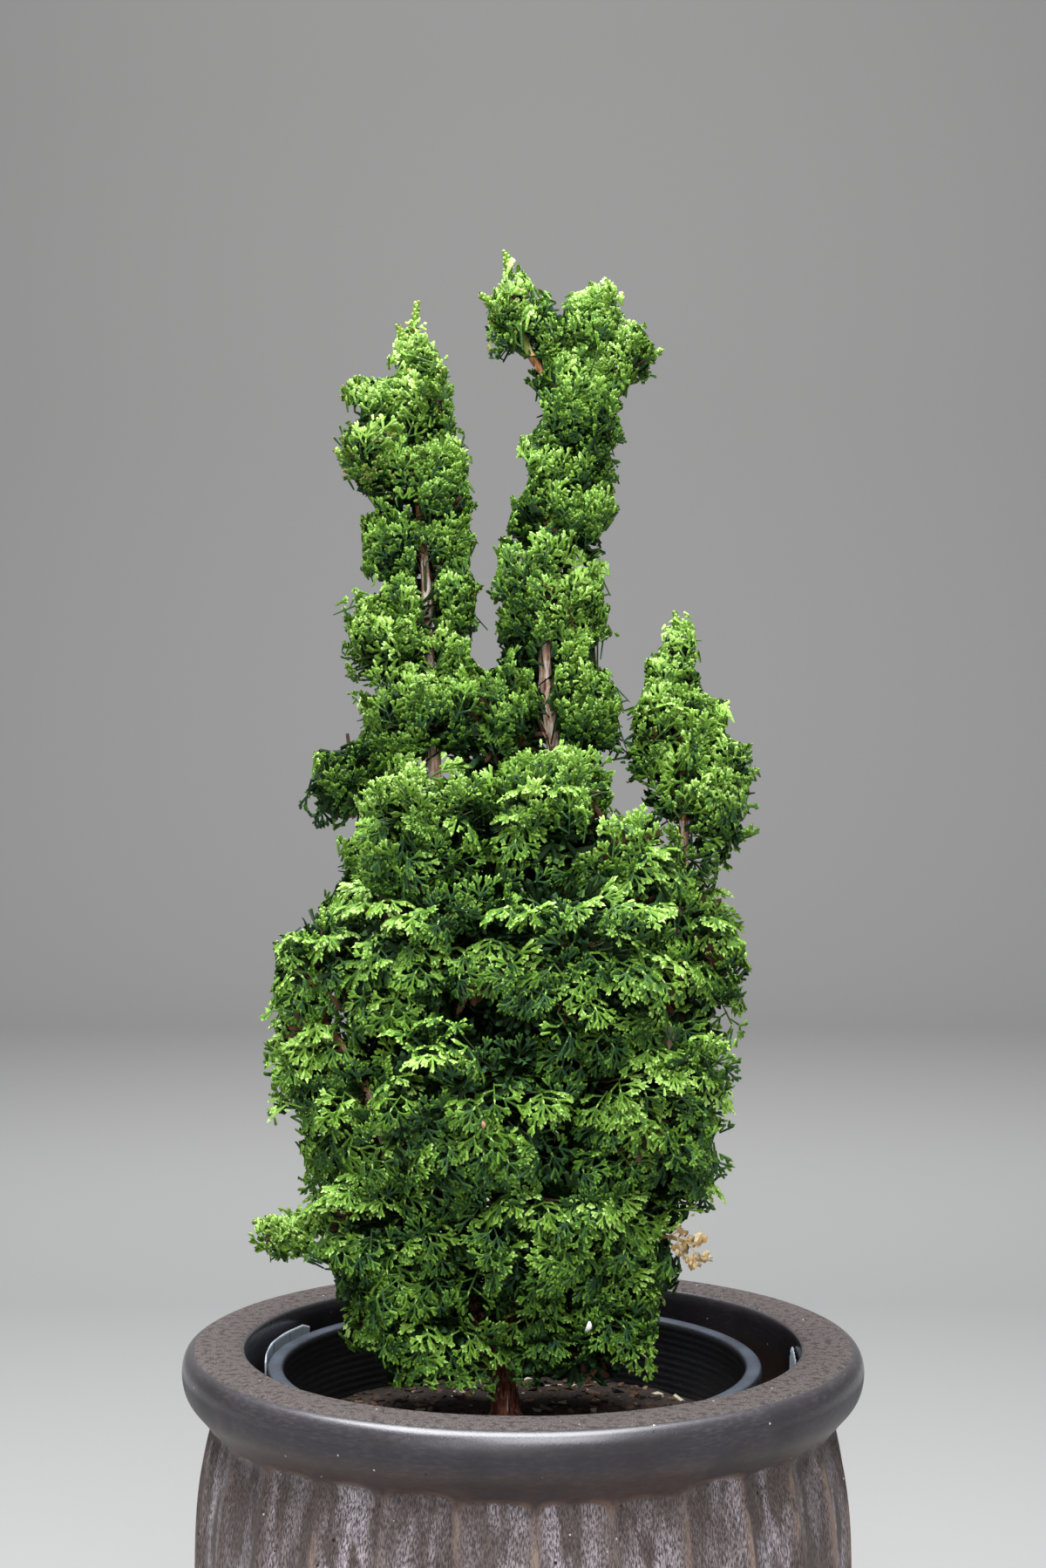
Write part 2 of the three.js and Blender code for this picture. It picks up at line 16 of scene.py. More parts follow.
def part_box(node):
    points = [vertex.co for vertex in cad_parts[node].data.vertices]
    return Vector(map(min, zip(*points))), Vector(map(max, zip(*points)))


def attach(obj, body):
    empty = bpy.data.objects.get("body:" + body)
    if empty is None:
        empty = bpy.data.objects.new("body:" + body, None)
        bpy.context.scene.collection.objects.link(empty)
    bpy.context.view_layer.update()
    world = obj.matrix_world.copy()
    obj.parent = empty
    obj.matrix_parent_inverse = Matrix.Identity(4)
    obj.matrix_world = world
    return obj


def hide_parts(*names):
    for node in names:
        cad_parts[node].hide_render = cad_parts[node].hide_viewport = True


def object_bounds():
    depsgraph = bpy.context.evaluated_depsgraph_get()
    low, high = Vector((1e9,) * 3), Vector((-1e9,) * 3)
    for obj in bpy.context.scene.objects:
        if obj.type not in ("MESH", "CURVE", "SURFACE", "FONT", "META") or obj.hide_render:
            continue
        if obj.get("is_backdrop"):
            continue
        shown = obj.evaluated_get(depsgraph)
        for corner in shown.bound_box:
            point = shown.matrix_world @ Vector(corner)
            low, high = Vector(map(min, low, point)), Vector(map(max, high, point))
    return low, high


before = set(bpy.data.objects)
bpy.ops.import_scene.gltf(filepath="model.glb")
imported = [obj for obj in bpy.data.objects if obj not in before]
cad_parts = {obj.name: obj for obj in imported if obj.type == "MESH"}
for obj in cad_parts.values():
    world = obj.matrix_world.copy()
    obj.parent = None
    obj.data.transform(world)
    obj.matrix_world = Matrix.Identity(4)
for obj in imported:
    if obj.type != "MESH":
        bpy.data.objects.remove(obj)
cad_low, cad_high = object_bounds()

MM = 0.001
BODY = "root"
print("frame:", len(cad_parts), "nodes, height", round(cad_high.z, 3), "m")

# %% [markdown]
# The camera stands where the photographer stood: about 1.2 m in front of the plant, a little over
# half a metre up, and tipped down by under two degrees. A long lens keeps the leaders upright. The
# lens is fitted to the picture's height, so that its field stays the same whatever the width is.

# %% Camera
CAMERA_PLACE = (0.0, -1.211, 0.545)
CAMERA_DOWN = 1.71
CAMERA_PITCH = math.radians(90 - CAMERA_DOWN)
FOCAL_PIXELS = 3000
PICTURE_WIDTH = 1200
PICTURE_HEIGHT = 1798
SENSOR = 36.0

camera_data = bpy.data.cameras.new("camera")
camera_data.sensor_fit = "VERTICAL"
camera_data.sensor_height = SENSOR
camera_data.lens = FOCAL_PIXELS * SENSOR / PICTURE_HEIGHT
camera = bpy.data.objects.new("camera", camera_data)
camera.location = CAMERA_PLACE
camera.rotation_euler = (CAMERA_PITCH, 0, 0)
bpy.context.scene.collection.objects.link(camera)
bpy.context.scene.camera = camera
print("lens:", round(camera_data.lens, 2), "mm")

# %% [markdown]
# Meshes with many small parts are made from number arrays: a list of points, lists of faces, and a
# material number for each face. That is much quicker than adding faces one by one. One function
# turns such arrays into an object that rides on the model's body.

# %% Helper: an object from arrays
def object_from_arrays(name, points, face_lists, materials, slots=None, smooth=True):
    """face_lists holds arrays of faces with the same number of corners in each array."""
    mesh = bpy.data.meshes.new(name)
    corners = [faces.shape[1] for faces in face_lists for _ in range(len(faces))]
    starts = np.concatenate([[0], np.cumsum(corners)[:-1]])
    loops = np.concatenate([faces.ravel() for faces in face_lists])
    mesh.vertices.add(len(points))
    mesh.vertices.foreach_set("co", np.asarray(points, dtype=np.float32).ravel())
    mesh.loops.add(len(loops))
    mesh.loops.foreach_set("vertex_index", loops.astype(np.int32))
    mesh.polygons.add(len(corners))
    mesh.polygons.foreach_set("loop_start", starts.astype(np.int32))
    if slots is not None:
        mesh.polygons.foreach_set("material_index", np.asarray(slots, dtype=np.int32))
    mesh.polygons.foreach_set("use_smooth", np.full(len(corners), smooth))
    mesh.update(calc_edges=True)
    mesh.validate()
    for material in materials:
        mesh.materials.append(material)
    piece = bpy.data.objects.new(name, mesh)
    bpy.context.scene.collection.objects.link(piece)
    return piece


def on_model(piece, slot, *nodes):
    """The piece rides on the body and stands for these nodes. The slot is not used."""
    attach(piece, BODY)
    if nodes:
        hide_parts(*nodes)
    triangles = sum(len(face.vertices) - 2 for face in piece.data.polygons)
    print(piece.name + ":", triangles, "triangles")


# %% Helper: a grid of points as faces
def grid_faces(rows, columns, closed_columns=True):
    """Quads of a grid whose points run row by row. A closed grid joins its last column to its first."""
    last = columns if closed_columns else columns - 1
    row, column = np.meshgrid(np.arange(rows - 1), np.arange(last), indexing="ij")
    following = (column + 1) % columns
    low = row * columns
    high = low + columns
    quads = np.stack([low + column, low + following, high + following, high + column], axis=-1)
    return quads.reshape(-1, 4)


def smoothstep(value, low, high):
    """0 up to low, 1 from high on, and a soft step between them."""
    share = np.clip((value - low) / (high - low), 0, 1)
    return share * share * (3 - 2 * share)


# %% [markdown]
# Materials are made of nodes. A short function adds a node and sets or links its inputs in one
# line, so that each material below reads as a list of the things that are seen on the real finish.

# %% Helper: nodes
def add(tree, kind, inputs=None, **settings):
    """A new node with its inputs set or linked. The settings are the node's own choices."""
    node = tree.nodes.new("ShaderNode" + kind)
    for name, value in settings.items():
        setattr(node, name, value)
    for name, value in (inputs or {}).items():
        if isinstance(value, bpy.types.NodeSocket):
            tree.links.new(value, node.inputs[name])
        else:
            node.inputs[name].default_value = value
    return node


def mix(tree, factor, first, second):
    """A colour between two others. Each may be a socket or an RGB value."""
    node = tree.nodes.new("ShaderNodeMix")
    node.data_type = "RGBA"
    for socket, value in ((node.inputs[0], factor), (node.inputs[6], first), (node.inputs[7], second)):
        if isinstance(value, bpy.types.NodeSocket):
            tree.links.new(value, socket)
        elif isinstance(value, tuple):
            socket.default_value = (*value, 1)
        else:
            socket.default_value = value
    return node.outputs[2]


def between(tree, value, low, high, out_low=0.0, out_high=1.0):
    """A value carried from one range to another and held inside it."""
    sockets = {"Value": value, "From Min": low, "From Max": high, "To Min": out_low, "To Max": out_high}
    return add(tree, "MapRange", sockets).outputs[0]


def product(tree, first, second):
    return add(tree, "Math", {0: first, 1: second}, operation="MULTIPLY").outputs[0]


def new_material(name, colour, roughness, **sockets):
    """A material of one plain colour, with its node tree and its shader."""
    material = bpy.data.materials.new(name)
    material.use_nodes = True
    tree = material.node_tree
    shader = tree.nodes["Principled BSDF"]
    shader.inputs["Base Color"].default_value = (*colour, 1)
    shader.inputs["Roughness"].default_value = roughness
    for socket, value in sockets.items():
        shader.inputs[socket.replace("_", " ")].default_value = value
    return material, tree, shader


def bump(tree, shader, height, distance, strength=1.0, below=None):
    """Adds relief to the shader. below is a coarser relief's normal, on which this one lies."""
    sockets = {"Height": height, "Distance": distance, "Strength": strength}
    if below is not None:
        sockets["Normal"] = below
    normal = add(tree, "Bump", sockets).outputs[0]
    tree.links.new(normal, shader.inputs["Normal"])
    return normal


# %% Helper: a node group
def new_group(name, inputs, outputs):
    """An empty node group, with the sockets that its nodes read from and write to."""
    group = bpy.data.node_groups.new(name, "ShaderNodeTree")
    for title, value in inputs.items():
        socket = group.interface.new_socket(title, in_out="INPUT", socket_type="NodeSocketFloat")
        socket.default_value = value
    for title in outputs:
        group.interface.new_socket(title, in_out="OUTPUT", socket_type="NodeSocketFloat")
    entry = group.nodes.new("NodeGroupInput")
    exit_node = group.nodes.new("NodeGroupOutput")
    return group, entry.outputs, exit_node.inputs


def use_group(tree, group, **values):
    """The outputs of a node group that is laid into a material with these inputs."""
    node = tree.nodes.new("ShaderNodeGroup")
    node.node_tree = group
    for name, value in values.items():
        node.inputs[name.replace("_", " ")].default_value = value
    return node.outputs


# %% [markdown]
# Three effects are node groups with inputs of their own, so that a finish lays one on in a single
# line and in its own size. Grain is fine noise that can be drawn out upwards into streaks, as in
# glaze that ran down or in fibrous bark. Specks are a few small round spots. The third lies on faces
# that look up, in patches: dust, and a painted reflection of the sky.

# %% Node group: grain and streaks
grain, inputs, outputs = new_group(
    "grain", {"Scale": 300, "Upward Stretch": 1, "Low": 0.35, "High": 0.65}, ["Mask", "Height"]
)
place = add(grain, "TexCoord").outputs["Object"]
squash = add(grain, "Math", {0: 1.0, 1: inputs["Upward Stretch"]}, operation="DIVIDE").outputs[0]
squeeze = add(grain, "CombineXYZ", {"X": 1.0, "Y": 1.0, "Z": squash}).outputs[0]
drawn = add(grain, "VectorMath", {0: place, 1: squeeze}, operation="MULTIPLY").outputs[0]
speckled = add(grain, "TexNoise", {"Vector": drawn, "Scale": inputs["Scale"], "Detail": 4.0})
mask = between(grain, speckled.outputs["Fac"], inputs["Low"], inputs["High"])
grain.links.new(mask, outputs["Mask"])
grain.links.new(speckled.outputs["Fac"], outputs["Height"])
print("group:", grain.name)

# %% Node group: specks
specks, inputs, outputs = new_group("specks", {"Scale": 60, "Share": 0.1, "Radius": 0.2}, ["Mask"])
place = add(specks, "TexCoord").outputs["Object"]
cells = add(specks, "TexVoronoi", {"Vector": place, "Scale": inputs["Scale"]})
near = add(specks, "Math", {0: cells.outputs["Distance"], 1: inputs["Radius"]}, operation="LESS_THAN")
pick = add(specks, "SeparateColor", {"Color": cells.outputs["Color"]}).outputs[0]
chosen = add(specks, "Math", {0: pick, 1: inputs["Share"]}, operation="LESS_THAN").outputs[0]
specks.links.new(product(specks, near.outputs[0], chosen), outputs["Mask"])
print("group:", specks.name)

# %% Node group: dust and painted sheen on faces that look up
dust_and_sheen, inputs, outputs = new_group("dust_and_sheen", {"Amount": 0.5, "Scale": 40, "Least Slope": 0.6}, ["Mask"])
up = add(dust_and_sheen, "SeparateXYZ", {"Vector": add(dust_and_sheen, "NewGeometry").outputs["Normal"]}).outputs["Z"]
level = between(dust_and_sheen, up, inputs["Least Slope"], 1.0)
place = add(dust_and_sheen, "TexCoord").outputs["Object"]
patches = add(dust_and_sheen, "TexNoise", {"Vector": place, "Scale": inputs["Scale"], "Detail": 3.0})
lying = product(dust_and_sheen, level, between(dust_and_sheen, patches.outputs["Fac"], 0.3, 0.7, 0.4, 1.0))
dust_and_sheen.links.new(product(dust_and_sheen, lying, inputs["Amount"]), outputs["Mask"])
print("group:", dust_and_sheen.name)

# %% Helper: a plain colour with fine upright fibres
def fibrous(name, colour, roughness, scale=1400, relief=0.0006):
    material, tree, shader = new_material(name, colour, roughness)
    fibres = use_group(tree, grain, Scale=scale, Upward_Stretch=3)
    bump(tree, shader, fibres["Height"], relief)
    return material


# %% [markdown]
# The floor and the wall behind are one pale sheet that curves up, so that no line shows where they
# meet. The light is that of a soft grey day: a wide panel overhead, a second one high in front that
# draws the bright line along the planter's rim, and a weak one low in front. A fourth panel lights
# the wall alone. The sheet itself is a light grey, which looks pale under such strong panels.

# %% Floor and backdrop
FLOOR_WIDTH = 24.0
FLOOR_FRONT = -14.0
WALL_DISTANCE = 3.2
WALL_HEIGHT = 4.5
BEND_RADIUS = 1.2

bend = np.linspace(0, math.pi / 2, 17)
sweep = [(FLOOR_FRONT, 0.0)]
for angle in bend:
    sweep.append((WALL_DISTANCE + BEND_RADIUS * math.sin(angle), BEND_RADIUS * (1 - math.cos(angle))))
sweep.append((WALL_DISTANCE + BEND_RADIUS, WALL_HEIGHT))
sheet = [(side * FLOOR_WIDTH / 2, y, z) for y, z in sweep for side in (-1, 1)]
paper, paper_tree, paper_shader = new_material("pale_paper", (0.30, 0.30, 0.295), 0.9)
fibre = use_group(paper_tree, grain, Scale=160)
bump(paper_tree, paper_shader, fibre["Height"], 0.0002)
floor = object_from_arrays("floor", sheet, [grid_faces(len(sweep), 2, False)], [paper])
floor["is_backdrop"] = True

# %% Lights
LIGHTS = {
    "overhead": {"place": (-0.15, 0.0, 1.9), "size": 1.5, "power": 84, "colour": (0.97, 0.98, 1.0)},
    "front_sky": {"place": (0.25, -1.7, 1.9), "size": 1.4, "power": 42, "colour": (0.98, 0.98, 1.0)},
    "low_front": {"place": (-0.5, -1.9, 0.8), "size": 1.2, "power": 6, "colour": (1.0, 0.98, 0.95)},
    "backdrop": {"place": (0.0, 1.3, 2.2), "size": 2.5, "power": 84, "colour": (1.0, 1.0, 1.0),
                 "aim": (0.0, 4.4, 2.0)},
}
LIGHT_AIM = (0.0, 0.0, 0.38)
SKY_COLOUR = (0.93, 0.96, 1.0, 1)
SKY_STRENGTH = 0.22

for name, light in LIGHTS.items():
    data = bpy.data.lights.new(name, "AREA")
    data.size = light["size"]
    data.energy = light["power"]
    data.color = light["colour"]
    lamp = bpy.data.objects.new(name, data)
    lamp.location = light["place"]
    aim = Vector(light.get("aim", LIGHT_AIM)) - Vector(light["place"])
    lamp.rotation_euler = aim.to_track_quat("-Z", "Y").to_euler()
    bpy.context.scene.collection.objects.link(lamp)

sky = bpy.data.worlds.new("soft_sky")
sky.use_nodes = True
background = sky.node_tree.nodes["Background"]
background.inputs["Color"].default_value = SKY_COLOUR
background.inputs["Strength"].default_value = SKY_STRENGTH
bpy.context.scene.world = sky
bpy.context.scene.view_settings.view_transform = "Standard"
print("lights:", ", ".join(LIGHTS))

# %% [markdown]
# The planter is stoneware thrown on a wheel: a belly that swells above a narrower foot, draws in at
# the neck, and ends in a heavy rolled rim with a flat top. Twenty-eight flutes were scraped down
# its side with a round tool, so they are shallow, slightly uneven, and end in soft arches under the
# rim. It is made as a grid: rows of points up the outside, over the rim and down the inside.

# %% Planter: its profile
_, PLANTER_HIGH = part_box("planter")
HEIGHT = PLANTER_HIGH.z / MM
RIM_RADIUS = PLANTER_HIGH.x / MM
FOOT_RADIUS = 101.0
FOOT_BEVEL = 3.0
BELLY_RADIUS = 153.0
BELLY_HEIGHT = 147.0
NECK_RADIUS = 144.6
NECK_HEIGHT = 214.0
MOUTH_RADIUS = 128.7
PLANTER_WALL = 14.0
PLANTER_FLOOR = 15.0
ROW_STEP = 3.0
INSIDE_ROW_STEP = 12
INSIDE_BELOW_RIM = 66
CORNER_STEPS = 6
LEAST_GAP = 0.05


def belly_radius(height):
    """The radius over the ridges, in mm, from the foot to the neck."""
    rise = np.sin(np.clip(height / BELLY_HEIGHT, 0, 1) * math.pi / 2)
    climb = np.clip((height - BELLY_HEIGHT) / (NECK_HEIGHT - BELLY_HEIGHT), 0, 1)
    below = FOOT_RADIUS + (BELLY_RADIUS - FOOT_RADIUS) * rise
    return below - (BELLY_RADIUS - NECK_RADIUS) * climb ** 2.2


def rounded(corners, steps):
    """A line through corners, with its bends drawn as arcs of a few steps."""
    corners = np.array(corners, dtype=float)
    line = [corners[0]]
    for before, corner, after in zip(corners, corners[1:], corners[2:]):
        start = (before + corner) / 2
        end = (corner + after) / 2
        for t in np.linspace(0, 1, steps):
            line.append((1 - t) ** 2 * start + 2 * t * (1 - t) * corner + t * t * end)
    line.append(corners[-1])
    keep = [line[0]]
    for point in line[1:]:
        if np.linalg.norm(point - keep[-1]) > LEAST_GAP:
            keep.append(point)
    return np.array(keep)


# %% Planter: the points of its profile
outside_heights = np.arange(FOOT_BEVEL, NECK_HEIGHT - 2, ROW_STEP)
outside = [(0.5, 0.0), (FOOT_RADIUS - 9, 0.0), (FOOT_RADIUS - 4, 0.0), (FOOT_RADIUS - 1.2, 0.6)]
outside += [(belly_radius(height), height) for height in outside_heights]
rim_corners = [
    (belly_radius(NECK_HEIGHT - 2), NECK_HEIGHT - 2), (NECK_RADIUS + 0.6, NECK_HEIGHT + 3),
    (NECK_RADIUS + 5.2, 223), (RIM_RADIUS - 1.2, 230), (RIM_RADIUS + 0.8, 239.5),
    (RIM_RADIUS - 0.6, HEIGHT - 3.2), (RIM_RADIUS - 4.6, HEIGHT - 0.2), (RIM_RADIUS - 12, HEIGHT + 0.2),
    (MOUTH_RADIUS + 9, HEIGHT),
    (MOUTH_RADIUS + 1, HEIGHT), (MOUTH_RADIUS - 0.2, HEIGHT - 3), (MOUTH_RADIUS + 1.5, HEIGHT - 14),
    (MOUTH_RADIUS + 5.5, HEIGHT - 34), (MOUTH_RADIUS + 5.8, HEIGHT - 60),
]
rim = rounded(rim_corners, CORNER_STEPS)
inside_heights = np.arange(HEIGHT - INSIDE_BELOW_RIM, PLANTER_FLOOR, -INSIDE_ROW_STEP)
inside = [(min(belly_radius(height) - PLANTER_WALL, MOUTH_RADIUS + 8), height)
          for height in inside_heights]
inside += [(belly_radius(PLANTER_FLOOR) - PLANTER_WALL, PLANTER_FLOOR), (40.0, PLANTER_FLOOR),
           (0.5, PLANTER_FLOOR)]
profile = np.array([*outside, *rim, *inside])
print("planter profile:", len(profile), "points, mouth", 2 * MOUTH_RADIUS, "mm")

# %% Planter: flutes and hand-made unevenness
FLUTES = 28
FLUTE_DEPTH = 3.8
FLUTE_TOP = 220.0
FLUTE_ARCH = 4.0
FLUTE_END = 4.5
FIRST_RIDGE = 2.0
COLUMNS_PER_FLUTE = 14
RIM_ROWS = 34
NECK_REACH = 7
UNEVEN = 0.5
WAVER_TURN = 3
WAVER_RISE = 45


def chance(seed, item):
    """A number from 0 to 1 that is always the same for the same seed and item."""
    value = np.sin(seed * 12.9898 + item * 78.233) * 43758.5453
    return value - np.floor(value)


columns = FLUTES * COLUMNS_PER_FLUTE
turn = np.arange(columns) / columns * 2 * math.pi + math.radians(FIRST_RIDGE)
flute = np.arange(columns) // COLUMNS_PER_FLUTE
across = (np.arange(columns) % COLUMNS_PER_FLUTE) / COLUMNS_PER_FLUTE
valley = (4 * across * (1 - across)) ** 0.75
depth = FLUTE_DEPTH * (0.72 + 0.5 * chance(flute, 3))
arch_top = FLUTE_TOP + FLUTE_ARCH * (chance(flute, 7) - 0.2) - FLUTE_ARCH * (1 - valley) ** 2

radius = np.repeat(profile[:, :1], columns, axis=1)
height = np.repeat(profile[:, 1:], columns, axis=1)
is_outside = (np.arange(len(profile)) < len(outside) + RIM_ROWS)[:, None]
is_outside = is_outside & (radius > belly_radius(height) - NECK_REACH)
under_rim = smoothstep(arch_top[None, :] - height, 0, FLUTE_END) * smoothstep(height, 0.3, 9)
fluted = is_outside * under_rim
circle = [(math.sin(angle) * WAVER_TURN, math.cos(angle) * WAVER_TURN) for angle in turn]
waver = np.array([[noise.noise(Vector((x, y, level / WAVER_RISE))) for x, y in circle]
                  for level in profile[:, 1]])
radius = radius - fluted * valley * depth + waver * UNEVEN * (radius > 60) * (height > 5)
points = np.stack([radius * np.sin(turn), -radius * np.cos(turn), height], axis=-1).reshape(-1, 3) * MM
faces = [grid_faces(len(profile), columns)[:, ::-1],
         np.array([np.arange(columns), np.arange(len(points) - columns, len(points))[::-1]])]
print("planter points:", len(points))

# %% [markdown]
# The glaze is dark grey with a pewter sheen. It broke over the ridges to a thin tan line, ran down
# the flutes in fine pale streaks, and pooled brown under the rim, where its edge dried rust brown.
# The rim's shoulder is smooth and mirrors the sky. Its flat top is dry and sandy, with fine grains
# in several browns. The masks for ridges and rim are stored on the mesh as numbers, and the
# streaks, grains and specks come from the node groups.

# %% Glaze: masks and patterns
glaze, tree, shader = new_material("fluted_glaze", (0.06, 0.05, 0.055), 0.34, Specular_IOR_Level=0.45,
                                    Coat_IOR=1.55, Coat_Roughness=0.28)
shader.inputs["Specular Tint"].default_value = (0.88, 0.90, 1.0, 1)
place = add(tree, "TexCoord").outputs["Object"]
level = add(tree, "SeparateXYZ", {"Vector": place}).outputs["Z"]
ridge_mask = add(tree, "Attribute", attribute_name="ridge").outputs["Fac"]
flute_mask = add(tree, "Attribute", attribute_name="flute").outputs["Fac"]
valley_mask = add(tree, "Attribute", attribute_name="valley").outputs["Fac"]
edge_mask = add(tree, "Attribute", attribute_name="band_edge").outputs["Fac"]
top_mask = add(tree, "Attribute", attribute_name="rim_top").outputs["Fac"]
streaks = use_group(tree, grain, Scale=1900, Upward_Stretch=5, Low=0.40, High=0.64)
clouds = use_group(tree, grain, Scale=34, Upward_Stretch=1.6, Low=0.44, High=0.58)
drifts = use_group(tree, grain, Scale=110, Upward_Stretch=5, Low=0.42, High=0.58)
wisps = use_group(tree, grain, Scale=240, Upward_Stretch=0.25, Low=0.45, High=0.75)
sand = use_group(tree, grain, Scale=1500, Low=0.34, High=0.66)
blots = use_group(tree, grain, Scale=300, Low=0.50, High=0.62)
dark_specks = use_group(tree, specks, Scale=150, Share=0.06, Radius=0.13)
white_specks = use_group(tree, specks, Scale=260, Share=0.05, Radius=0.12)
print("masks and patterns in the glaze:", len(tree.nodes), "nodes")

# %% Glaze: colours
# The smooth band under the shoulder: grey above, brown below, with faint level wisps
pooled = between(tree, level, 0.236, 0.229)
smooth_band = mix(tree, pooled, (0.036, 0.032, 0.037), (0.060, 0.038, 0.030))
smooth_band = mix(tree, product(tree, wisps["Mask"], 0.6), smooth_band, (0.086, 0.073, 0.078))
smooth_band = mix(tree, product(tree, clouds["Mask"], 0.6), smooth_band, (0.026, 0.022, 0.024))
shoulder = product(tree, between(tree, level, 0.2394, 0.2440), between(tree, top_mask, 0.5, 0.0))
# The flutes: pewter grain over brown, in patches, with a worn line along the ridges
pewter = mix(tree, streaks["Mask"], (0.076, 0.063, 0.065), (0.620, 0.550, 0.595))
bare = mix(tree, product(tree, streaks["Mask"], 0.7), (0.050, 0.038, 0.033), (0.195, 0.152, 0.140))
drift = product(tree, drifts["Mask"], between(tree, valley_mask, 0.35, 0.90, 0.30, 1.0))
patches = mix(tree, drift, bare, pewter)
fluted_part = mix(tree, clouds["Mask"], mix(tree, product(tree, drift, 0.35), bare, pewter), patches)
worn_line = product(tree, ridge_mask, between(tree, drifts["Height"], 0.46, 0.58, 0.05, 0.9))
fluted_part = mix(tree, worn_line, fluted_part, (0.330, 0.225, 0.165))
side = mix(tree, flute_mask, smooth_band, fluted_part)
rust = product(tree, edge_mask, between(tree, drifts["Height"], 0.38, 0.58, 0.1, 0.75))
side = mix(tree, rust, side, (0.190, 0.105, 0.066))
# The dry top, and specks all over
sandy = mix(tree, sand["Mask"], (0.022, 0.017, 0.015), (0.145, 0.118, 0.106))
sandy = mix(tree, product(tree, blots["Mask"], 0.8), sandy, (0.022, 0.017, 0.016))
glazed = mix(tree, top_mask, side, sandy)
glazed = mix(tree, dark_specks["Mask"], glazed, (0.012, 0.010, 0.010))
glazed = mix(tree, white_specks["Mask"], glazed, (0.62, 0.60, 0.56))
tree.links.new(glazed, shader.inputs["Base Color"])
print("with its colours:", len(tree.nodes), "nodes")

# %% Glaze: gloss and relief
# Dry on the flat top, duller in the flutes, and nearly a mirror on the shoulder
tree.links.new(shoulder, shader.inputs["Coat Weight"])
gloss = mix(tree, shoulder, (0.42, 0.42, 0.42), (0.20, 0.20, 0.20))
gloss = mix(tree, flute_mask, gloss, (0.50, 0.50, 0.50))
gloss = mix(tree, product(tree, clouds["Mask"], 0.25), gloss, (0.60, 0.60, 0.60))
tree.links.new(mix(tree, top_mask, gloss, (0.85, 0.85, 0.85)), shader.inputs["Roughness"])
run = bump(tree, shader, streaks["Height"], 0.0004, 0.5)
roughest = between(tree, top_mask, 0, 1, 0.10, 1.0)
bump(tree, shader, product(tree, sand["Height"], roughest), 0.0006, below=run)
print("with its gloss and relief:", len(tree.nodes), "nodes")

# %% Planter: the glazed piece and its masks
planter = object_from_arrays("fluted_planter", points, faces, [glaze])
rim_level = smoothstep(height, HEIGHT - 1.2, HEIGHT - 0.2) * (radius < RIM_RADIUS - 5)
ridge = (1 - valley[None, :]) ** 5 * fluted * (0.25 + 0.75 * chance(flute, 11))[None, :]
band_edge = 4 * fluted * (1 - fluted) * (height > 200)
for name, values in (("ridge", ridge), ("flute", fluted), ("valley", fluted * valley[None, :]),
                     ("rim_top", rim_level), ("band_edge", band_edge)):
    attribute = planter.data.attributes.new(name, "FLOAT", "POINT")
    attribute.data.foreach_set("value", values.ravel().astype(np.float32))
on_model(planter, "glaze", "planter")

# %% [markdown]
# The nursery pot is thin black plastic, moulded with a rolled lip, fine rings inside its wall, and
# a skirt under the lip. Faces that look up are blue grey, partly from a thin film of dust and partly
# from a painted reflection of the sky. Its profile goes up the outside, over the lip and down the
# inside to the soil.

# %% Nursery pot
NURSERY_LOW, NURSERY_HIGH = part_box("nursery_pot")
NURSERY_X = (NURSERY_LOW.x + NURSERY_HIGH.x) / 2
LIP_RADIUS = (NURSERY_HIGH.x - NURSERY_LOW.x) / 2 / MM
LIP_TOP = NURSERY_HIGH.z / MM
NURSERY_BASE = NURSERY_LOW.z / MM
BASE_RADIUS = 88.0
WALL_RADIUS = 109.5
PLASTIC = 2.2
LIP_DEPTH = 13.0
RING_PITCH = 3.4
RING_RELIEF = 0.22
NURSERY_COLUMNS = 144

lip_low = LIP_TOP - LIP_DEPTH
skirt = [(0.5, NURSERY_BASE), (BASE_RADIUS - 2, NURSERY_BASE), (BASE_RADIUS, NURSERY_BASE + 2),
         (WALL_RADIUS, lip_low), (LIP_RADIUS - 1.2, lip_low), (LIP_RADIUS - 0.6, lip_low + 1),
         (LIP_RADIUS, LIP_TOP - 3), (LIP_RADIUS - 0.1, LIP_TOP - 0.9), (LIP_RADIUS - 1.2, LIP_TOP),
         (WALL_RADIUS - 0.8, LIP_TOP), (WALL_RADIUS - 2.0, LIP_TOP - 0.8)]
inner_heights = np.arange(LIP_TOP - 2, NURSERY_BASE + PLASTIC, -RING_PITCH / 4)
inner = []
for level in inner_heights:
    share = (level - NURSERY_BASE) / (lip_low - NURSERY_BASE)
    wall = BASE_RADIUS + (WALL_RADIUS - BASE_RADIUS) * min(share, 1.0) - PLASTIC
    inner.append((wall + RING_RELIEF * math.sin(level / RING_PITCH * 2 * math.pi), level))
floor_level = NURSERY_BASE + PLASTIC
pot_profile = np.array([*skirt, *inner, (BASE_RADIUS - PLASTIC, floor_level), (0.5, floor_level)])
turn = np.arange(NURSERY_COLUMNS) * 2 * math.pi / NURSERY_COLUMNS
x = pot_profile[:, :1] * np.sin(turn) * MM + NURSERY_X
y = -pot_profile[:, :1] * np.cos(turn) * MM
z = np.repeat(pot_profile[:, 1:], NURSERY_COLUMNS, axis=1) * MM
points = np.stack([x, y, z], axis=-1).reshape(-1, 3)
last = len(points) - NURSERY_COLUMNS
faces = [grid_faces(len(pot_profile), NURSERY_COLUMNS)[:, ::-1],
         np.array([np.arange(NURSERY_COLUMNS), np.arange(last, len(points))[::-1]])]

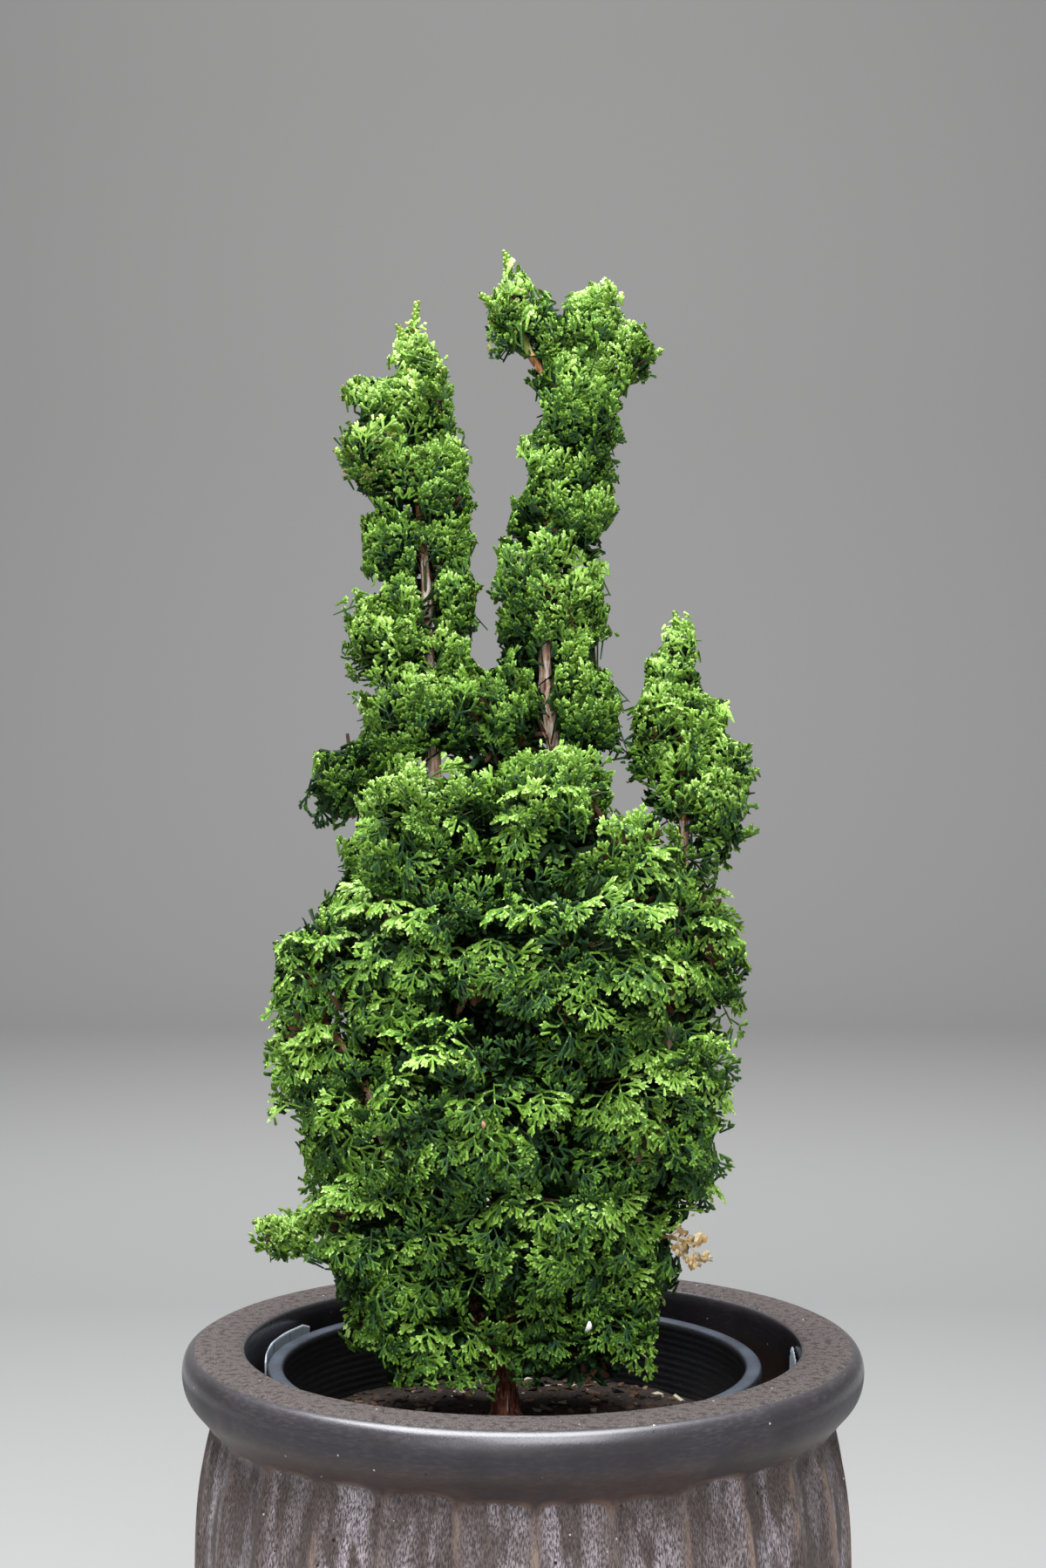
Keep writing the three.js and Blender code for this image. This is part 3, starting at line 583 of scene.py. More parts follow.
# %% Black plastic
plastic, tree, shader = new_material("black_plastic", (0.014, 0.016, 0.020), 0.42)
film = use_group(tree, dust_and_sheen, Amount=0.75, Scale=60, Least_Slope=0.55)
scuffs = use_group(tree, grain, Scale=500, Upward_Stretch=0.3, Low=0.55, High=0.72)
# Painted reflection: faces that look up turn blue grey in patches, partly dust and partly a painted
# sheen of the sky.
dust_and_sheen_colour = mix(tree, film["Mask"], (0.010, 0.011, 0.014), (0.085, 0.108, 0.150))
tree.links.new(mix(tree, product(tree, scuffs["Mask"], 0.25), dust_and_sheen_colour, (0.10, 0.11, 0.12)),
               shader.inputs["Base Color"])
tree.links.new(between(tree, scuffs["Height"], 0.3, 0.7, 0.34, 0.56), shader.inputs["Roughness"])
bump(tree, shader, scuffs["Height"], 0.0002)
on_model(object_from_arrays("nursery_pot_shell", points, faces, [plastic]), "pot_plastic", "nursery_pot")

# %% [markdown]
# Soil is a heap of small broken pieces. Its surface is a disc of points, raised by noise at two
# scales, over a wall and base that follow the pot. Chips of bark and a few pale bits lie on it:
# each is a small block whose corners are moved at random, pressed into the surface.

# %% Soil
SOIL_LOW, SOIL_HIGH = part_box("soil")
SOIL_TOP = SOIL_HIGH.z / MM
SOIL_BASE = SOIL_LOW.z / MM
SOIL_EDGE_DROP = 4.0
SOIL_RINGS = 44
SOIL_COLUMNS = 128
CRUMB = 1.3
BASE_GAP = 0.6
EDGE_GAP = 0.4


def inner_wall(level):
    """The nursery pot's inner radius at a height, both in mm."""
    share = (level - NURSERY_BASE) / (lip_low - NURSERY_BASE)
    return BASE_RADIUS + (WALL_RADIUS - BASE_RADIUS) * share - PLASTIC - RING_RELIEF


def soil_height(x, y, share):
    """The soil's height in mm at a place, where share goes from 0 in the middle to 1 at the wall."""
    coarse = noise.noise(Vector((x / 16, y / 16, 0.3)))
    fine = noise.noise(Vector((x / 3.2, y / 3.2, 5.1)))
    flat = min(1.0, max(0.0, (share - 0.12) / 0.2))
    return SOIL_TOP - SOIL_EDGE_DROP * share ** 1.5 - flat * CRUMB * (0.9 - 0.6 * coarse - 0.5 * fine)


soil_edge = inner_wall(SOIL_TOP - SOIL_EDGE_DROP) - EDGE_GAP
turn = np.arange(SOIL_COLUMNS) * 2 * math.pi / SOIL_COLUMNS
rows = [[(0.0, 0.0, SOIL_BASE)] * SOIL_COLUMNS]
base_edge = inner_wall(SOIL_BASE) - BASE_GAP
for distance, level in ((base_edge, SOIL_BASE), (soil_edge, SOIL_TOP - 2 * SOIL_EDGE_DROP)):
    rows.append([(distance * math.cos(a), distance * math.sin(a), level) for a in turn])
for share in np.linspace(1, 0.01, SOIL_RINGS):
    ring = [(soil_edge * share * math.cos(a), soil_edge * share * math.sin(a)) for a in turn]
    rows.append([(x, y, soil_height(x, y, share)) for x, y in ring])
points = np.array(rows).reshape(-1, 3) * MM + (NURSERY_X, 0, 0)
middle = np.array([np.arange(len(points) - SOIL_COLUMNS, len(points))])
faces = [grid_faces(len(rows), SOIL_COLUMNS), middle]

# %% Dark soil
earth, tree, shader = new_material("dark_soil", (0.02, 0.013, 0.009), 0.95)
crumbs = use_group(tree, grain, Scale=900, Low=0.42, High=0.62)
damp = use_group(tree, grain, Scale=60, Low=0.4, High=0.6)
dry = mix(tree, crumbs["Mask"], (0.012, 0.008, 0.006), (0.075, 0.046, 0.030))
tree.links.new(mix(tree, product(tree, damp["Mask"], 0.6), dry, (0.008, 0.006, 0.005)),
               shader.inputs["Base Color"])
bump(tree, shader, crumbs["Height"], 0.0014)
on_model(object_from_arrays("soil_heap", points, faces, [earth]), "soil", "soil")

# %% Chips on the soil
CHIPS = 900
CHIP_SIZE = (1.6, 7.0)
CHIP_CORNERS = np.array([(x, y, z) for x in (-1, 1) for y in (-1, 1) for z in (-1, 1)], dtype=float)
CHIP_QUADS = np.array([[0, 1, 3, 2], [4, 6, 7, 5], [0, 4, 5, 1],
                       [2, 3, 7, 6], [0, 2, 6, 4], [1, 5, 7, 3]])
CHIP_COLOURS = {"chip_dark": (0.03, 0.018, 0.012), "chip_brown": (0.11, 0.055, 0.03),
                "chip_tan": (0.26, 0.16, 0.09), "chip_pale": (0.55, 0.48, 0.36)}
CHIP_SHARES = (0.52, 0.30, 0.13, 0.05)
TRUNK_CLEAR = 14.0

chip_materials = [fibrous(name, colour, 0.9) for name, colour in CHIP_COLOURS.items()]

rng = np.random.default_rng(5)
chips = []
while len(chips) < CHIPS:
    share = math.sqrt(rng.uniform(0.01, 0.95))
    angle = rng.uniform(0, 2 * math.pi)
    x = soil_edge * share * math.cos(angle)
    y = soil_edge * share * math.sin(angle)
    if math.hypot(x + NURSERY_X / MM + 8, y) < TRUNK_CLEAR:
        continue
    long = CHIP_SIZE[0] + (CHIP_SIZE[1] - CHIP_SIZE[0]) * rng.uniform() ** 2.2
    half = np.array([long / 2, long * rng.uniform(0.2, 0.45), long * rng.uniform(0.08, 0.2)])
    block = CHIP_CORNERS * half * rng.uniform(0.65, 1.15, (8, 3))
    heading = rng.uniform(0, 2 * math.pi)
    tip = rng.normal(0, 0.25)
    spin = np.array([[math.cos(heading), -math.sin(heading), 0],
                     [math.sin(heading), math.cos(heading), 0], [0, 0, 1]])
    lean = np.array([[math.cos(tip), 0, -math.sin(tip)], [0, 1, 0],
                     [math.sin(tip), 0, math.cos(tip)]])
    level = soil_height(x, y, share) + half[2] * 0.4
    chips.append(block @ lean.T @ spin.T + (x, y, level))
points = np.array(chips).reshape(-1, 3) * MM + (NURSERY_X, 0, 0)
faces = (np.arange(CHIPS)[:, None, None] * 8 + CHIP_QUADS[None]).reshape(-1, 4)
slots = np.repeat(rng.choice(len(CHIP_SHARES), CHIPS, p=CHIP_SHARES), len(CHIP_QUADS))
on_model(object_from_arrays("soil_chips", points, [faces], chip_materials, slots, smooth=False), "soil")

# %% [markdown]
# Two slips of thin clear plastic stand in the gap between the pots. The left one is a long strip
# that stands off the nursery pot's lip towards its rear end. The right one is a short pointed tab
# with upright ribs that leans on the planter's wall.

# %% Slips of clear plastic
SLIP_THICKNESS = 0.8
SLIP_LEAN_GAP = 0.3
# Where each slip starts and ends round the pot in degrees, its heights, how far its rear end stands
# off, how much its point rises, and how many ribs it has and how deep they are, in mm
SLIPS = {
    "slip_left": {"ends": (-124, -88), "low": 226, "high": 243, "off": 6.5, "point": 2,
                  "ribs": 3, "deep": 0.12},
    "slip_right": {"ends": (92.5, 98.5), "low": 212, "high": 243, "off": 0, "point": 9,
                   "ribs": 7, "deep": 0.3},
}
SLIP_COLUMNS = 80
SLIP_ROWS = 14


def slip_strip(ends, low, high, off, point, ribs, deep):
    """Points and faces of a closed strip, column by column, in mm."""
    along = np.linspace(0, 1, SLIP_COLUMNS)[:, None]
    angle = np.radians(ends[1] + (ends[0] - ends[1]) * along)
    if off:
        base = LIP_RADIUS + SLIP_LEAN_GAP + off * along ** 1.5
    else:
        base = MOUTH_RADIUS - SLIP_LEAN_GAP - SLIP_THICKNESS
    rise = np.linspace(0, 1, SLIP_ROWS)[None]
    corner = 1 - 0.12 * np.maximum(0, np.abs(2 * along - 1) - 0.85) / 0.15
    top = (high - point * np.abs(along - 0.35)) * corner + low * (1 - corner)
    height = low + (top - low) * rise
    ridge = deep * np.cos(2 * math.pi * ribs * along) * np.ones_like(rise)
    sides = []
    for depth, order in ((SLIP_THICKNESS, slice(None)), (0.0, slice(None, None, -1))):
        radius = base + depth + (ridge - deep) * (1 if depth else -1)
        x = radius * np.sin(angle) + (NURSERY_X / MM if off else 0)
        y = -radius * np.cos(angle) * np.ones_like(rise)
        sides.append(np.stack([x * np.ones_like(rise), y, height], axis=-1)[:, order])
    points = np.concatenate(sides, axis=1)
    round_trip = 2 * SLIP_ROWS
    faces = grid_faces(SLIP_COLUMNS, round_trip)
    last = (SLIP_COLUMNS - 1) * round_trip
    caps = np.array([[k, k + 1, round_trip - 2 - k, round_trip - 1 - k] for k in range(SLIP_ROWS - 1)])
    return points.reshape(-1, 3) * MM, [faces, caps[:, ::-1], caps + last]


clear, tree, shader = new_material("clear_plastic_film", (0.60, 0.68, 0.76), 0.28,
                                   Transmission_Weight=0.3)
scuffs = use_group(tree, grain, Scale=420, Upward_Stretch=5)
bump(tree, shader, scuffs["Height"], 0.0003)
tree.links.new(between(tree, scuffs["Mask"], 0, 1, 0.2, 0.5), shader.inputs["Roughness"])
for name, sizes in SLIPS.items():
    points, faces = slip_strip(**sizes)
    on_model(object_from_arrays("film_" + name, points, faces, [clear]), "clear_plastic", name)

# %% [markdown]
# The limbs are tubes along smooth curves: three leaders that fork just above the soil, two weaker
# stems, and a branch to the second tip. Their points are those that the solids follow. The bark of
# this tree is reddish and stringy, and it peels in upright strips, so the tubes have many sides and
# each ring is pushed in and out by noise that is drawn out along the limb.

# %% Limbs: their routes
# The points that each limb passes through: to the right, to the back and up, in mm
LIMBS = {
    "trunk": [(-8, 0, 211.3), (-8.6, -0.5, 224), (-11, -2, 241)],
    "centre_leader": [(-10.6, -1, 239), (-2, 2, 285), (12, 4, 366), (18, -4, 468), (14, -12, 527),
                      (10, -14, 563), (14, -8, 613), (20, -4, 661), (26, 0, 700), (34, 3, 722)],
    "left_leader": [(-12.4, -3, 239), (-22, -8, 266), (-34, -14, 308), (-39, -16, 409), (-40, -18, 513),
                    (-43, -16, 565), (-45, -14, 612), (-50, -8, 661), (-51, -4, 704)],
    "right_leader": [(-9.4, -3, 239), (16, 0, 272), (47, -2, 308), (60, -6, 355), (67, -10, 396),
                     (69, -10, 428), (74, -12, 495), (72, -10, 529), (70, -8, 575)],
    "shoulder_stem": [(-13, -4.5, 239), (-38, -20, 286), (-61, -24, 340), (-75, -22, 379),
                      (-91, -18, 402), (-94, -16, 424)],
    "rear_stem": [(-11.5, 1.5, 239), (-29, 24, 287), (-50, 38, 360), (-67, 42, 440), (-78, 38, 506)],
    "centre_branch": [(23, -2, 684), (12, -5, 695), (2, -6, 709), (-3, -4, 732)],
}
# Radii at the foot and at the tip, in mm
LIMB_RADII = {
    "trunk": (7.0, 5.4), "centre_leader": (3.9, 1.1), "left_leader": (3.7, 1.1),
    "right_leader": (3.5, 1.1), "shoulder_stem": (2.8, 1.1), "rear_stem": (2.8, 1.1),
    "centre_branch": (2.0, 1.2),
}
# A limb keeps its girth for long and thins towards the tip.
LIMB_TAPER = 2.2
RING_STEP = 1.8 * MM
CURVE_STEPS = 24
print("routes:", ", ".join(LIMBS))


# %% Limbs: smooth curves
def smooth_path(points, step):
    """A centripetal Catmull-Rom curve through the points, cut into even steps."""
    points = np.array(points, dtype=float)
    ends = [2 * points[0] - points[1], *points, 2 * points[-1] - points[-2]]
    dense = []
    for p0, p1, p2, p3 in zip(ends, ends[1:], ends[2:], ends[3:]):
        knots = np.cumsum([0] + [max(np.linalg.norm(b - a), 1e-9) ** 0.5
                                 for a, b in ((p0, p1), (p1, p2), (p2, p3))])
        t0, t1, t2, t3 = knots
        for t in np.linspace(t1, t2, CURVE_STEPS, endpoint=False):
            a1 = (t1 - t) / (t1 - t0) * p0 + (t - t0) / (t1 - t0) * p1
            a2 = (t2 - t) / (t2 - t1) * p1 + (t - t1) / (t2 - t1) * p2
            a3 = (t3 - t) / (t3 - t2) * p2 + (t - t2) / (t3 - t2) * p3
            b1 = (t2 - t) / (t2 - t0) * a1 + (t - t0) / (t2 - t0) * a2
            b2 = (t3 - t) / (t3 - t1) * a2 + (t - t1) / (t3 - t1) * a3
            dense.append((t2 - t) / (t2 - t1) * b1 + (t - t1) / (t2 - t1) * b2)
    dense = np.array([*dense, points[-1]])
    travel = np.concatenate([[0], np.cumsum(np.linalg.norm(np.diff(dense, axis=0), axis=1))])
    stops = np.linspace(0, travel[-1], max(2, round(travel[-1] / step) + 1))
    return np.stack([np.interp(stops, travel, dense[:, axis]) for axis in range(3)], axis=1)


PATHS = {name: smooth_path(np.array(points) * MM, RING_STEP) for name, points in LIMBS.items()}
print("limbs:", {name: round(len(path) * RING_STEP / MM) for name, path in PATHS.items()}, "mm")


# %% Limbs: their surface
LIMB_SIDES = 20
BARK_RELIEF = 0.20
BARK_STRIPS = 420
BARK_STRETCH = 6
TRUNK_FLARE = 4.5 * MM
TRUNK_FLARE_HEIGHT = 7 * MM


def path_frames(path):
    """Two directions across the path at each of its points, carried along without twist."""
    along = np.gradient(path, axis=0)
    along /= np.linalg.norm(along, axis=1, keepdims=True)
    across = np.zeros_like(path)
    start = np.cross(along[0], (0.0, 1.0, 0.0))
    across[0] = start / np.linalg.norm(start)
    for i in range(1, len(path)):
        carried = across[i - 1] - along[i] * np.dot(along[i], across[i - 1])
        across[i] = carried / np.linalg.norm(carried)
    return across, np.cross(along, across)


def ring_directions(path, sides):
    """The directions from each point of a path to the points of a ring round it."""
    across, over = path_frames(path)
    turn = np.arange(sides) * 2 * math.pi / sides
    return np.cos(turn)[None, :, None] * across[:, None] + np.sin(turn)[None, :, None] * over[:, None]


def limb_radius(name, path):
    """A limb's radius along its path. Only the trunk flares at its foot."""
    foot, tip = (radius * MM for radius in LIMB_RADII[name])
    along = np.linspace(0, 1, len(path))
    if name != "trunk":
        return foot + (tip - foot) * along ** LIMB_TAPER
    rise = np.clip((path[:, 2] - path[0, 2]) / TRUNK_FLARE_HEIGHT, 0, 1)
    return foot + (tip - foot) * along + TRUNK_FLARE * (1 - rise) ** 2


def bark_tube(name):
    """Points and faces of a limb whose rings noise pushes in and out."""
    path = PATHS[name]
    radius = limb_radius(name, path)
    ring = ring_directions(path, LIMB_SIDES)
    relief = np.zeros((len(path), LIMB_SIDES))
    for i, place in enumerate(path):
        for k in range(LIMB_SIDES):
            spot = Vector(ring[i, k] * radius[i] * BARK_STRIPS)
            spot += Vector(place) * (BARK_STRIPS / BARK_STRETCH)
            relief[i, k] = noise.noise(spot) + 0.5 * noise.noise(spot * 2.3)
    swell = 1 + BARK_RELIEF * relief
    points = path[:, None] + ring * (radius[:, None] * swell)[:, :, None]
    faces = grid_faces(len(path), LIMB_SIDES)
    count = len(path) * LIMB_SIDES
    caps = np.array([np.arange(LIMB_SIDES)[::-1], np.arange(count - LIMB_SIDES, count)])
    return points.reshape(-1, 3), [faces, caps]


# %% Bark
def bark_material(name, crack, worn, fresh):
    """Upright strips: dark cracks between strips that are worn in some patches and fresh in others."""
    material, tree, shader = new_material(name, worn, 0.85)
    strips = use_group(tree, grain, Scale=560, Upward_Stretch=6, Low=0.43, High=0.53)
    patch = use_group(tree, grain, Scale=170, Low=0.47, High=0.54)
    strip = mix(tree, patch["Mask"], worn, fresh)
    tree.links.new(mix(tree, strips["Mask"], crack, strip), shader.inputs["Base Color"])
    coarse = bump(tree, shader, strips["Height"], 0.0012)
    fine = use_group(tree, grain, Scale=2600, Upward_Stretch=4)
    bump(tree, shader, fine["Height"], 0.0003, below=coarse)
    return material


BARKS = [
    bark_material("stringy_bark", (0.48, 0.25, 0.17), (0.84, 0.56, 0.42), (0.95, 0.84, 0.74)),
    bark_material("shaded_bark", (0.080, 0.020, 0.012), (0.280, 0.078, 0.044), (0.42, 0.18, 0.11)),
    bark_material("young_bark", (0.15, 0.18, 0.03), (0.30, 0.40, 0.07), (0.42, 0.36, 0.17)),
    bark_material("copper_bark", (0.22, 0.090, 0.035), (0.52, 0.24, 0.09), (0.70, 0.42, 0.20)),
]
# Below the first height the bark is darker and redder, with painted shade at the foot. Above the
# second a limb is still green, and for some way under that it is copper brown.
SHADED_BELOW = 0.33
COPPER_LENGTH = 0.042
OLD, SHADED, YOUNG, COPPER = 0, 1, 2, 3
YOUNG_ABOVE = {
    "trunk": 1.0, "centre_leader": 0.66, "left_leader": 0.655, "right_leader": 0.533,
    "shoulder_stem": 0.41, "rear_stem": 0.5, "centre_branch": 0.706,
}

for name in LIMBS:
    points, faces = bark_tube(name)
    heights = PATHS[name][:-1, 2]
    zones = [heights < SHADED_BELOW, heights > YOUNG_ABOVE[name],
             heights > YOUNG_ABOVE[name] - COPPER_LENGTH]
    age = np.select(zones, [SHADED, YOUNG, COPPER], OLD)
    slots = np.concatenate([np.repeat(age, LIMB_SIDES), age[[0, -1]]])
    on_model(object_from_arrays("bark_" + name, points, faces, BARKS, slots), "bark", name)

# %% [markdown]
# The foliage is what makes this plant. Real sprays are flat, like the fingers of many small hands:
# each shoot forks into blunt green fingers about two millimetres wide, about ten of them make a fan,
# and five fans make a frond that arches over like a scallop shell. The fronds lie in tiers.
# Their crests catch the light in yellow green, and the fans that hang from the rim are a deep blue
# green. The masses of the model say where the fronds may be. The rule for their directions is the
# one that the solids follow: each leaves its mass a golden angle after the last.

# %% Masses: where foliage is
# On the leaders: limb and height, offset to the right and back, half width, height and depth, in mm
TUFTS = {
    "left_tip": ("left_leader", 703, 1, 0, 15, 29, 15),
    "left_neck": ("left_leader", 680, -6, 0, 32, 29, 23),
    "left_head": ("left_leader", 654, -13, -2, 25, 29, 25),
    "left_cheek": ("left_leader", 640, 7, 3, 22, 36, 25),
    "left_collar": ("left_leader", 615, -11, 1, 23, 31, 25),
    "left_arm": ("left_leader", 594, 9, 2, 22, 34, 24),
    "left_elbow": ("left_leader", 572, -15, -1, 27, 35, 25),
    "left_hip": ("left_leader", 539, -4, -2, 31, 35, 28),
    "centre_tip": ("centre_branch", 721, -3, 0, 15, 32, 15),
    "centre_crown": ("centre_leader", 713, -1, 2, 24, 30, 22),
    "centre_wing": ("centre_leader", 707, 19, 2, 17, 18, 17),
    "centre_neck": ("centre_leader", 674, 1, -2, 28, 40, 25),
    "centre_collar": ("centre_leader", 631, 1, 0, 31, 38, 26),
    "centre_elbow": ("centre_leader", 592, -1, 0, 29, 40, 26),
    "centre_hip": ("centre_leader", 542, 13, 4, 27, 44, 29),
    "centre_lap": ("centre_leader", 534, -22, 12, 31, 40, 30),
    "right_tip": ("right_leader", 565, 1, 0, 18, 29, 17),
    "right_neck": ("right_leader", 528, -8, 2, 23, 40, 24),
    "right_shoulder": ("right_leader", 505, 10, 3, 29, 46, 29),
    "rear_top": ("rear_stem", 514, -3, 0, 29, 38, 30),
    "rear_low": ("rear_stem", 462, -3, -6, 25, 38, 27),
    "shoulder_top": ("shoulder_stem", 425, 2, 2, 28, 32, 28),
    "shoulder_side": ("shoulder_stem", 388, -13, 5, 25, 38, 27),
    "crest": ("centre_leader", 489, -4, -18, 37, 42, 34),
    "crest_left": ("left_leader", 482, -4, -12, 35, 43, 34),
    "crest_right": ("right_leader", 466, -24, -14, 33, 44, 34),
    "crest_back": ("centre_leader", 480, -12, 33, 44, 46, 36),
    "spur": ("shoulder_stem", 309, -60, 6, 19, 12, 14),
}
# Round the body: the middle's height, how many there are, the angle of the first, the crown's left
# and right edges and its half depth there, and the masses' half width and height, in mm
RINGS = {
    "chest": (428, 5, 0, -98, 110, 90, 54, 50),
    "waist": (368, 5, 36, -119, 112, 96, 56, 50),
    "skirt": (312, 5, 0, -113, 96, 88, 52, 46),
    "foot": (262, 4, 45, -100, 83, 80, 44, 42),
}
SQUARENESS = 3
GOLDEN_ANGLE = math.pi * (3 - math.sqrt(5))
# Fronds leave a mass in all directions up to this angle from its way of growing.
SPREAD = 1 - math.cos(math.radians(165))
TIP_GIRTH = 0.90
TIP_TAPERS = {"left_tip": 0.95, "centre_tip": 0.45, "right_tip": 1.0}
LIMB_POINTS = np.concatenate(list(PATHS.values()))
LIMB_THICK = np.concatenate([limb_radius(name, path) for name, path in PATHS.items()])
print("points on the limbs:", len(LIMB_POINTS))

# %% Masses: their forms
# A limb above a mass is less likely to feed it than one below. A mass grows outwards and up.
COST_OF_ABOVE = 2
GROWTH_UP = 0.6
NEAR_LIMB = 8 * MM
CENTRE_SLACK = 25 * MM


def unit(vector):
    """The same direction with a length of one."""
    return vector / max(np.linalg.norm(vector), 1e-12)


def reach_of(mass, direction):
    """How far a mass reaches in a direction. Its form lies between a ball and a block."""
    scaled = np.abs(direction / mass["half"]) ** SQUARENESS
    return scaled.sum(axis=-1) ** (-1 / SQUARENESS)


def tuft(row):
    """The centre and half sizes of a mass on a leader."""
    limb, height, right, back, wide, tall, deep = row
    path = PATHS[limb]
    nearest = path[np.argmin(np.abs(path[:, 2] - height * MM))]
    centre = np.array([nearest[0] + right * MM, nearest[1] + back * MM, height * MM])
    return centre, np.array([wide, deep, tall]) * MM


def ring_tufts(row):
    """The centres and half sizes of the masses round the body."""
    height, count, turn, left, right, depth, wide, tall = row
    for k in range(count):
        angle = math.radians(turn + k * 360 / count)
        x = (left + right) / 2 + ((right - left) / 2 - wide) * math.cos(angle)
        y = (depth - wide) * math.sin(angle)
        yield np.array([x, y, height]) * MM, np.array([wide, wide, tall]) * MM


def new_mass(name, seed, centre, half):
    """A mass's centre, half sizes, the place on a limb that feeds it, and the way it grows."""
    offset = LIMB_POINTS - centre
    cost = np.linalg.norm(offset, axis=1) + COST_OF_ABOVE * np.maximum(0, offset[:, 2])
    root = LIMB_POINTS[np.argmin(cost)]
    growth = unit(unit(centre - root) + (0, 0, GROWTH_UP))
    if np.linalg.norm(centre - root) < NEAR_LIMB or name.endswith("tip"):
        growth = np.array([0.0, 0.0, 1.0])
    return {"name": name, "seed": seed, "centre": centre, "half": half, "root": root,
            "growth": growth}


# %% Masses: their list
forms = {name: tuft(row) for name, row in TUFTS.items()}
for name, row in RINGS.items():
    forms.update({f"{name}_{k + 1}": form for k, form in enumerate(ring_tufts(row))})
MASSES = [new_mass(name, seed + 1, *form) for seed, (name, form) in enumerate(forms.items())]
CENTRES = np.array([mass["centre"] for mass in MASSES])
HALVES = np.array([mass["half"] for mass in MASSES])
# Masses that follow one another up a leader have foliage between them too, unless they are very
# close or far apart for their height.
BRIDGE_SIZE = 0.86
BRIDGE_SPAN = (1.2, 2.9)
BRIDGES = []
for leader in ("left_", "centre_", "right_"):
    column = [mass for mass in MASSES if mass["name"].startswith(leader)]
    column.sort(key=lambda mass: mass["centre"][2])
    for lower, upper in [*zip(column, column[1:]), *zip(column, column[2:])]:
        middle = (lower["centre"] + upper["centre"]) / 2
        half = (lower["half"] + upper["half"]) / 2 * BRIDGE_SIZE
        least, most = (share * half[2] for share in BRIDGE_SPAN)
        if least < np.linalg.norm(lower["centre"] - upper["centre"]) < most:
            BRIDGES.append(new_mass(lower["name"], lower["seed"], middle, half))
for mass in MASSES:
    node_low, node_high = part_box(mass["name"])
    slack = (Vector(mass["centre"]) - (node_low + node_high) / 2).length
    assert slack < CENTRE_SLACK, mass["name"]
print("masses:", len(MASSES), "and bridges:", len(BRIDGES))


# %% Masses: directions and depth
FAR_OUT = 9


def directions(mass, count):
    """count directions from the mass's centre, spread round its way of growing."""
    order = np.arange(count)
    rise = 1 - SPREAD * order / count
    around = order * GOLDEN_ANGLE + mass["seed"]
    across = np.sqrt(np.maximum(0, 1 - rise * rise))
    local = np.stack([np.cos(around) * across, np.sin(around) * across, rise], axis=1)
    turn = Vector((0, 0, 1)).rotation_difference(Vector(mass["growth"])).to_matrix()
    return local @ np.array(turn).T


def depth_in_others(mass, place):
    """1 on the surface of the nearest other mass, less inside it and more outside."""
    scaled = np.abs((place - CENTRES) / HALVES) ** SQUARENESS
    measure = scaled.sum(axis=1) ** (1 / SQUARENESS)
    measure[mass["seed"] - 1] = FAR_OUT
    return measure.min()


def depth_in_own(mass, places):
    """The same for many places in the mass's own form, which narrows upwards on a tip."""
    offset = (places - mass["centre"]) / mass["half"]
    narrow = np.ones_like(offset)
    if mass["name"] in TIP_TAPERS:
        rise = np.clip(offset[..., 2:], 0, 1)
        narrow[..., :2] = np.clip(TIP_GIRTH * (1 - rise) ** TIP_TAPERS[mass["name"]], 0.12, 1)
    scaled = np.abs(offset / narrow)
    return (scaled ** SQUARENESS).sum(axis=-1) ** (1 / SQUARENESS)


print("a mass's first direction:", np.round(directions(MASSES[0], 20)[0], 2))

# %% [markdown]
# One finger is a blunt blade with a raised middle, six triangles in all. A fan is three or four
# long fingers, each with a pair of shorter ones, and a frond is a bent stalk with fans to both sides
# and one at its end. Everything is laid out flat first, in rows of numbers.

# %% Fingers
STALK, MAIN, NUB = 0, 1, 2
FINGER_WIDTH = 2.0 * MM
FINGER_THICK = 1.3 * MM
STALK_WIDTH = 1.0 * MM
# Each ring of a finger: its place along the finger, and its share of the width and thickness
FINGER_RINGS = ((0.0, 0.5, 0.7), (0.80, 1.0, 1.0))
# The corners of a ring: left edge, right edge and raised middle
FINGER_CORNERS = ((-0.5, 0.0), (0.5, 0.0), (0.0, 1.0))
FINGER_END = (0.0, 1.0, 0.4)
FINGER_QUADS = np.array([[1, 4, 5, 2], [2, 5, 3, 0]])
FINGER_TRIANGLES = np.array([[4, 6, 5], [5, 6, 3]])
FINGER_POINTS = 7
# Points that stand for a finger in the tests below
FOOT_RIDGE, END_RIDGE, END = 2, 5, 6
X, Y, Z, HEADING, LIFT, LENGTH, WIDTH, THICK, KIND = range(9)


def finger_points(rows):
    """The points of each finger. A row holds its place, heading, lift, sizes and kind."""
    corners = [(side * wide, share, ridge * high) for share, wide, high in FINGER_RINGS
               for side, ridge in FINGER_CORNERS]
    corners = np.array([*corners, FINGER_END])
    heading = np.radians(rows[:, HEADING])[:, None]
    lift = np.radians(rows[:, LIFT])[:, None]
    sideways = corners[None, :, 0] * rows[:, WIDTH, None]
    forward = corners[None, :, 1] * rows[:, LENGTH, None]
    level = forward * np.cos(lift)
    across = rows[:, X, None] + sideways * np.cos(heading) + level * np.sin(heading)
    ahead = rows[:, Y, None] - sideways * np.sin(heading) + level * np.cos(heading)
    height = rows[:, Z, None] + corners[None, :, 2] * rows[:, THICK, None] + forward * np.sin(lift)
    return np.stack([across, ahead, height], axis=-1)


# %% Fans and fronds
def step_from(place, heading, distance, lift=0.0):
    """The point at a distance from a place along a heading, climbing by the lift."""
    turn = math.radians(heading)
    climb = math.radians(lift)
    x, y, z = place
    level = distance * math.cos(climb)
    return x + level * math.sin(turn), y + level * math.cos(turn), z + distance * math.sin(climb)


